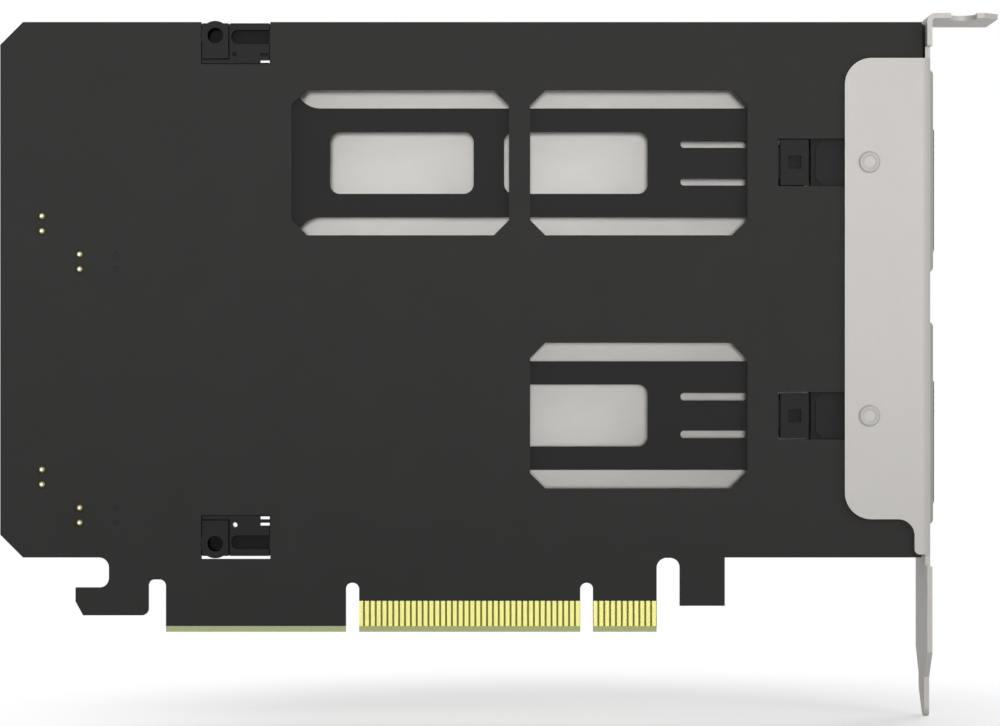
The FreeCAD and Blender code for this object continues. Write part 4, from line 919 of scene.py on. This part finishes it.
class CARD_OT_copper(bpy.types.Operator):
    """Lay the traces, vias and alignment marks of the component side."""

    bl_idname = "card.copper"
    bl_label = "Traces and vias"
    # Lanes from a socket, tails to a lane, the first tail counted from the middle, their pitch.
    lane_count, lane_tails, first_tail, tail_pitch = 7, 4, -17, 0.5 * MM
    # How far behind the tails the first lane runs down, and the size of its corner.
    lane_start, lane_turn, lane_step = 1.0 * MM, 0.4 * MM, 0.1 * MM
    # Width of the power copper before and after the regulator and along the capacitors.
    choke_wide, chip_wide, bus_wide = 3.4 * MM, 2.6 * MM, 1.2 * MM
    # Width of a trace from a contact, and how far above the contact its via lies.
    edge_wide, edge_via = 0.24 * MM, 1.6 * MM
    # Vias that join the ground along the rear edge: their place, and heights in millimetres.
    stitch_place, stitch_heights = -98.9 * MM, range(24, 102, 4)
    mark_places = ((-95.5, 98.5), (-96.2, 33.0), (-68.0, 98.5))
    round, mark_round = 12, 24

    def execute(self, context):
        self.sizes = context.scene.card_copper
        self.shape = bmesh.new()
        for bay in BAYS:
            self.lanes(bay)
            self.power(bay)
            self.fan_out(f"regulator_{bay}")
        self.fan_out("clock_buffer")
        self.edge_traces()
        for rise in self.stitch_heights:
            self.via((self.stitch_place, rise * MM))
        finished("board_traces", self.shape, ["mask_over_copper"], "card", "board")
        self.marks()
        return {"FINISHED"}

    def trace(self, points, width=None):
        """A trace along points, as wide as a signal trace unless told otherwise."""
        rise = BOARD_FACE + self.sizes.trace_rise
        ribbon(self.shape, points, width or self.sizes.trace_width, BOARD_FACE, rise)

    def via(self, centre):
        """A raised ring with a hole in its middle."""
        top = BOARD_FACE + self.sizes.trace_rise * 1.4
        rings = turned(self.shape, centre, [
            (self.sizes.via_radius, BOARD_FACE), (self.sizes.via_radius * 0.94, top),
            (self.sizes.via_bore, top), (self.sizes.via_bore * 0.8, BOARD_FACE)], 0, self.round)
        cap(self.shape, rings[-1])

    def lanes(self, bay):
        """Pairs from the socket's tails, down to a row of vias below it."""
        low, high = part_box(f"drive_socket_{bay}")
        _, middle_rise = middle(low, high)
        tail = low.x - 1.1 * MM
        for number in range(self.lane_count):
            for side in (0, 1):
                place = number * self.lane_tails + self.first_tail + side
                rise = middle_rise + place * self.tail_pitch
                column = (tail - self.lane_start - number * self.sizes.column_pitch
                          - side * self.sizes.pair_gap)
                turn = self.lane_turn + side * self.lane_step
                foot = low.z - (1.4 + 0.7 * side) * MM
                self.trace([
                    (tail, rise), (column + turn, rise), (column, rise - turn), (column, foot)])
                self.via((column, foot))

    def power(self, bay):
        """Broad copper from the choke to the regulator, and on to the capacitors."""
        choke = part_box(f"inductor_{bay}")
        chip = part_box(f"regulator_{bay}")
        _, rise = middle(*chip)
        self.trace([
            (choke[1].x + 0.2 * MM, rise), (chip[0].x - 0.3 * MM, rise)], self.choke_wide)
        stack = [box for box in islands("capacitors") if abs(box[0].z - rise) < 20 * MM]
        bus = stack[0][0].x - 0.9 * MM
        low = min(box[0].z for box in stack)
        high = max(box[1].z for box in stack)
        self.trace([(bus, low), (bus, high)], self.bus_wide)
        self.trace([
            (chip[1].x + 0.3 * MM, rise), (bus - self.bus_wide / 2, rise)], self.chip_wide)
        for box in stack:
            self.via((box[1].x + 0.6 * MM, middle(*box)[1]))

    def fan_out(self, node):
        """Short traces that lead away from a chip's legs to vias, near and far in turn."""
        count, pitch = CHIP_LEGS[node]
        low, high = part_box(node)
        centre = middle(low, high)
        half = (high.x - low.x) / 2
        for way in (1, -1):
            for number in range(count):
                across = centre[0] + (number - (count - 1) / 2) * pitch * MM
                start = centre[1] + way * (half + 0.1 * MM)
                end = start + way * (0.7 + 0.6 * (number % 2)) * MM
                self.trace([(across, start), (across, end)])
                self.via((across, end))

    def edge_traces(self):
        """Traces from the contacts up under the cage, every fourth one ending in a via."""
        contacts = [box for box in islands("edge_contacts") if box[1].y > 0]
        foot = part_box("drive_cage")[0].z
        for number, (low, high) in enumerate(contacts):
            across, _ = middle(low, high)
            grounded = number % 4 == 3
            end = high.z + self.edge_via if grounded else foot + 1.0 * MM
            self.trace([(across, high.z + 0.02 * MM), (across, end)], self.edge_wide)
            if grounded:
                self.via((across, end))

    def marks(self):
        """Bare round marks by which a placing machine lines up the board."""
        radius = self.sizes.mark_radius
        shape = bmesh.new()
        for across, rise in self.mark_places:
            centre = (across * MM, rise * MM)
            disc = turned(shape, centre, [
                (radius, BOARD_FACE), (radius, BOARD_FACE + 0.03 * MM)], 0, self.mark_round)
            cap(shape, disc[-1])
            turned(shape, centre, [
                (radius * 2, BOARD_FACE), (radius * 2, BOARD_FACE + SKIN),
                (radius, BOARD_FACE + SKIN)], 1, self.mark_round)
        finished("alignment_marks", shape, ["gold_plate", "bare_ring"], "card", "gold")


class CARD_OT_lever_grips(bpy.types.Operator):
    """Raise the grip ribs on the ejector levers."""

    bl_idname = "card.lever_grips"
    bl_label = "Lever grips"
    count, first, pitch = 4, 2.2 * MM, 1.1 * MM
    inset, half, sunk, proud = 0.7 * MM, 0.22 * MM, 0.2 * MM, 0.12 * MM

    def execute(self, context):
        for bay in BAYS:
            low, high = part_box(f"eject_lever_{bay}")
            shape = bmesh.new()
            for number in range(self.count):
                rise = high.z - self.first - number * self.pitch
                block(shape, (high.x - self.sunk, low.y + self.inset, rise - self.half),
                      (high.x + self.proud, high.y - self.inset, rise + self.half), 0.1 * MM)
            finished(f"lever_grip_{bay}", shape, ["lever_moulding"], f"{bay}_lever", "lever")
        return {"FINISHED"}


class CARD_OT_stage(bpy.types.Operator):
    """Set the pale floor, the soft light and the camera."""

    bl_idname = "card.stage"
    bl_label = "Stage"

    def execute(self, context):
        stage = context.scene.card_stage
        self.floor(stage)
        self.sky(context, stage)
        for name, level, spread, way in (
            ("front_lamp", stage.front_level, 6, (0.0, 1.0, 0.0)),
            ("key_lamp", stage.key_level, 35, (-0.58, 0.62, -0.50)),
            ("fill_lamp", stage.fill_level, 35, (-0.35, -0.75, -0.55)),
        ):
            light = bpy.data.lights.new(name, "SUN")
            light.energy = level
            light.angle = math.radians(spread)
            placed(name, light).rotation_euler = Vector(way).to_track_quat("-Z", "Y").to_euler()
        self.camera(context, stage)
        context.scene.view_settings.view_transform = "Standard"
        return {"FINISHED"}

    def floor(self, stage):
        level = CAD_BOX[0][2] - 0.02 * MM
        half = stage.floor_size / 2
        shape = bmesh.new()
        cap(shape, [shape.verts.new((a * half, b * half, level)) for a, b in CORNERS])
        floor = meshed("floor", shape)
        finish = Finish("floor")
        x, y, _ = finish.place()
        away = finish.node("ShaderNodeMath", {"operation": "SQRT"}, {0: x * x + y * y})
        reach = stage.shade_radius / MM
        far = finish.ramp(away, reach * 0.6, reach * 1.6)
        seen = finish.seen()
        tone = finish.mix(seen, (stage.floor_bounce,) * 3, (stage.floor_tone,) * 3)
        matte = finish.node("ShaderNodeBsdfDiffuse", inputs={"Color": tone})
        white = finish.node("ShaderNodeEmission", inputs={"Color": (1, 1, 1, 1), "Strength": 1.0})
        lifted = (far * (1 - stage.shade_lift) + stage.shade_lift) * seen
        mixed = finish.node("ShaderNodeMixShader", inputs={0: lifted, 1: matte, 2: white})
        finish.node("ShaderNodeOutputMaterial", inputs={"Surface": mixed})
        floor.data.materials.append(finish.material)

    def sky(self, context, stage):
        context.scene.world = bpy.data.worlds.new("sky")
        sky = Finish("sky", context.scene.world)
        light = sky.node("ShaderNodeBackground", inputs={
            "Color": (1, 1, 1, 1), "Strength": stage.sky_level})
        white = sky.node("ShaderNodeBackground", inputs={"Color": (1, 1, 1, 1), "Strength": 1.0})
        mixed = sky.node("ShaderNodeMixShader", inputs={0: sky.seen(), 1: light, 2: white})
        sky.node("ShaderNodeOutputWorld", inputs={"Surface": mixed})

    def camera(self, context, stage):
        lens = bpy.data.cameras.new("camera")
        lens.sensor_width = 36.0
        lens.sensor_fit = "HORIZONTAL"
        lens.lens = stage.camera_lens
        lens.clip_start = 0.01
        lens.clip_end = 20.0
        camera = placed("camera", lens)
        camera.location = stage.camera_place
        camera.rotation_euler = (math.radians(90), 0, 0)
        context.scene.camera = camera


class CARD_PT_panel(bpy.types.Panel):
    """The card's pieces and stage, in the order in which they are made."""

    bl_idname = "CARD_PT_panel"
    bl_label = "Drive adapter card"
    bl_space_type = "VIEW_3D"
    bl_region_type = "UI"
    bl_category = "Card"

    def draw(self, context):
        for operator in OPERATORS:
            self.layout.operator(operator.bl_idname)
        for group in SETTINGS:
            box = self.layout.box()
            settings = getattr(context.scene, group)
            for name in settings.bl_rna.properties.keys():
                if name not in ("rna_type", "name"):
                    box.prop(settings, name, text=name.replace("_", " ").capitalize())


SETTINGS = {
    "card_board": BoardSettings, "card_copper": CopperSettings, "card_metal": MetalSettings,
    "card_plastic": PlasticSettings, "card_stage": StageSettings,
}
OPERATORS = (
    CARD_OT_finishes, CARD_OT_screws, CARD_OT_rivets, CARD_OT_pins, CARD_OT_chips,
    CARD_OT_passives, CARD_OT_socket_contacts, CARD_OT_copper, CARD_OT_lever_grips, CARD_OT_stage,
)


def register():
    for cls in (*SETTINGS.values(), *OPERATORS, CARD_PT_panel):
        bpy.utils.register_class(cls)
    for name, group in SETTINGS.items():
        setattr(bpy.types.Scene, name, bpy.props.PointerProperty(type=group))


def unregister():
    for name in SETTINGS:
        delattr(bpy.types.Scene, name)
    for cls in reversed((*SETTINGS.values(), *OPERATORS, CARD_PT_panel)):
        bpy.utils.unregister_class(cls)


def main():
    register()
    for operator in OPERATORS:
        group, name = operator.bl_idname.split(".")
        getattr(getattr(bpy.ops, group), name)()


if __name__ == "__main__":
    main()
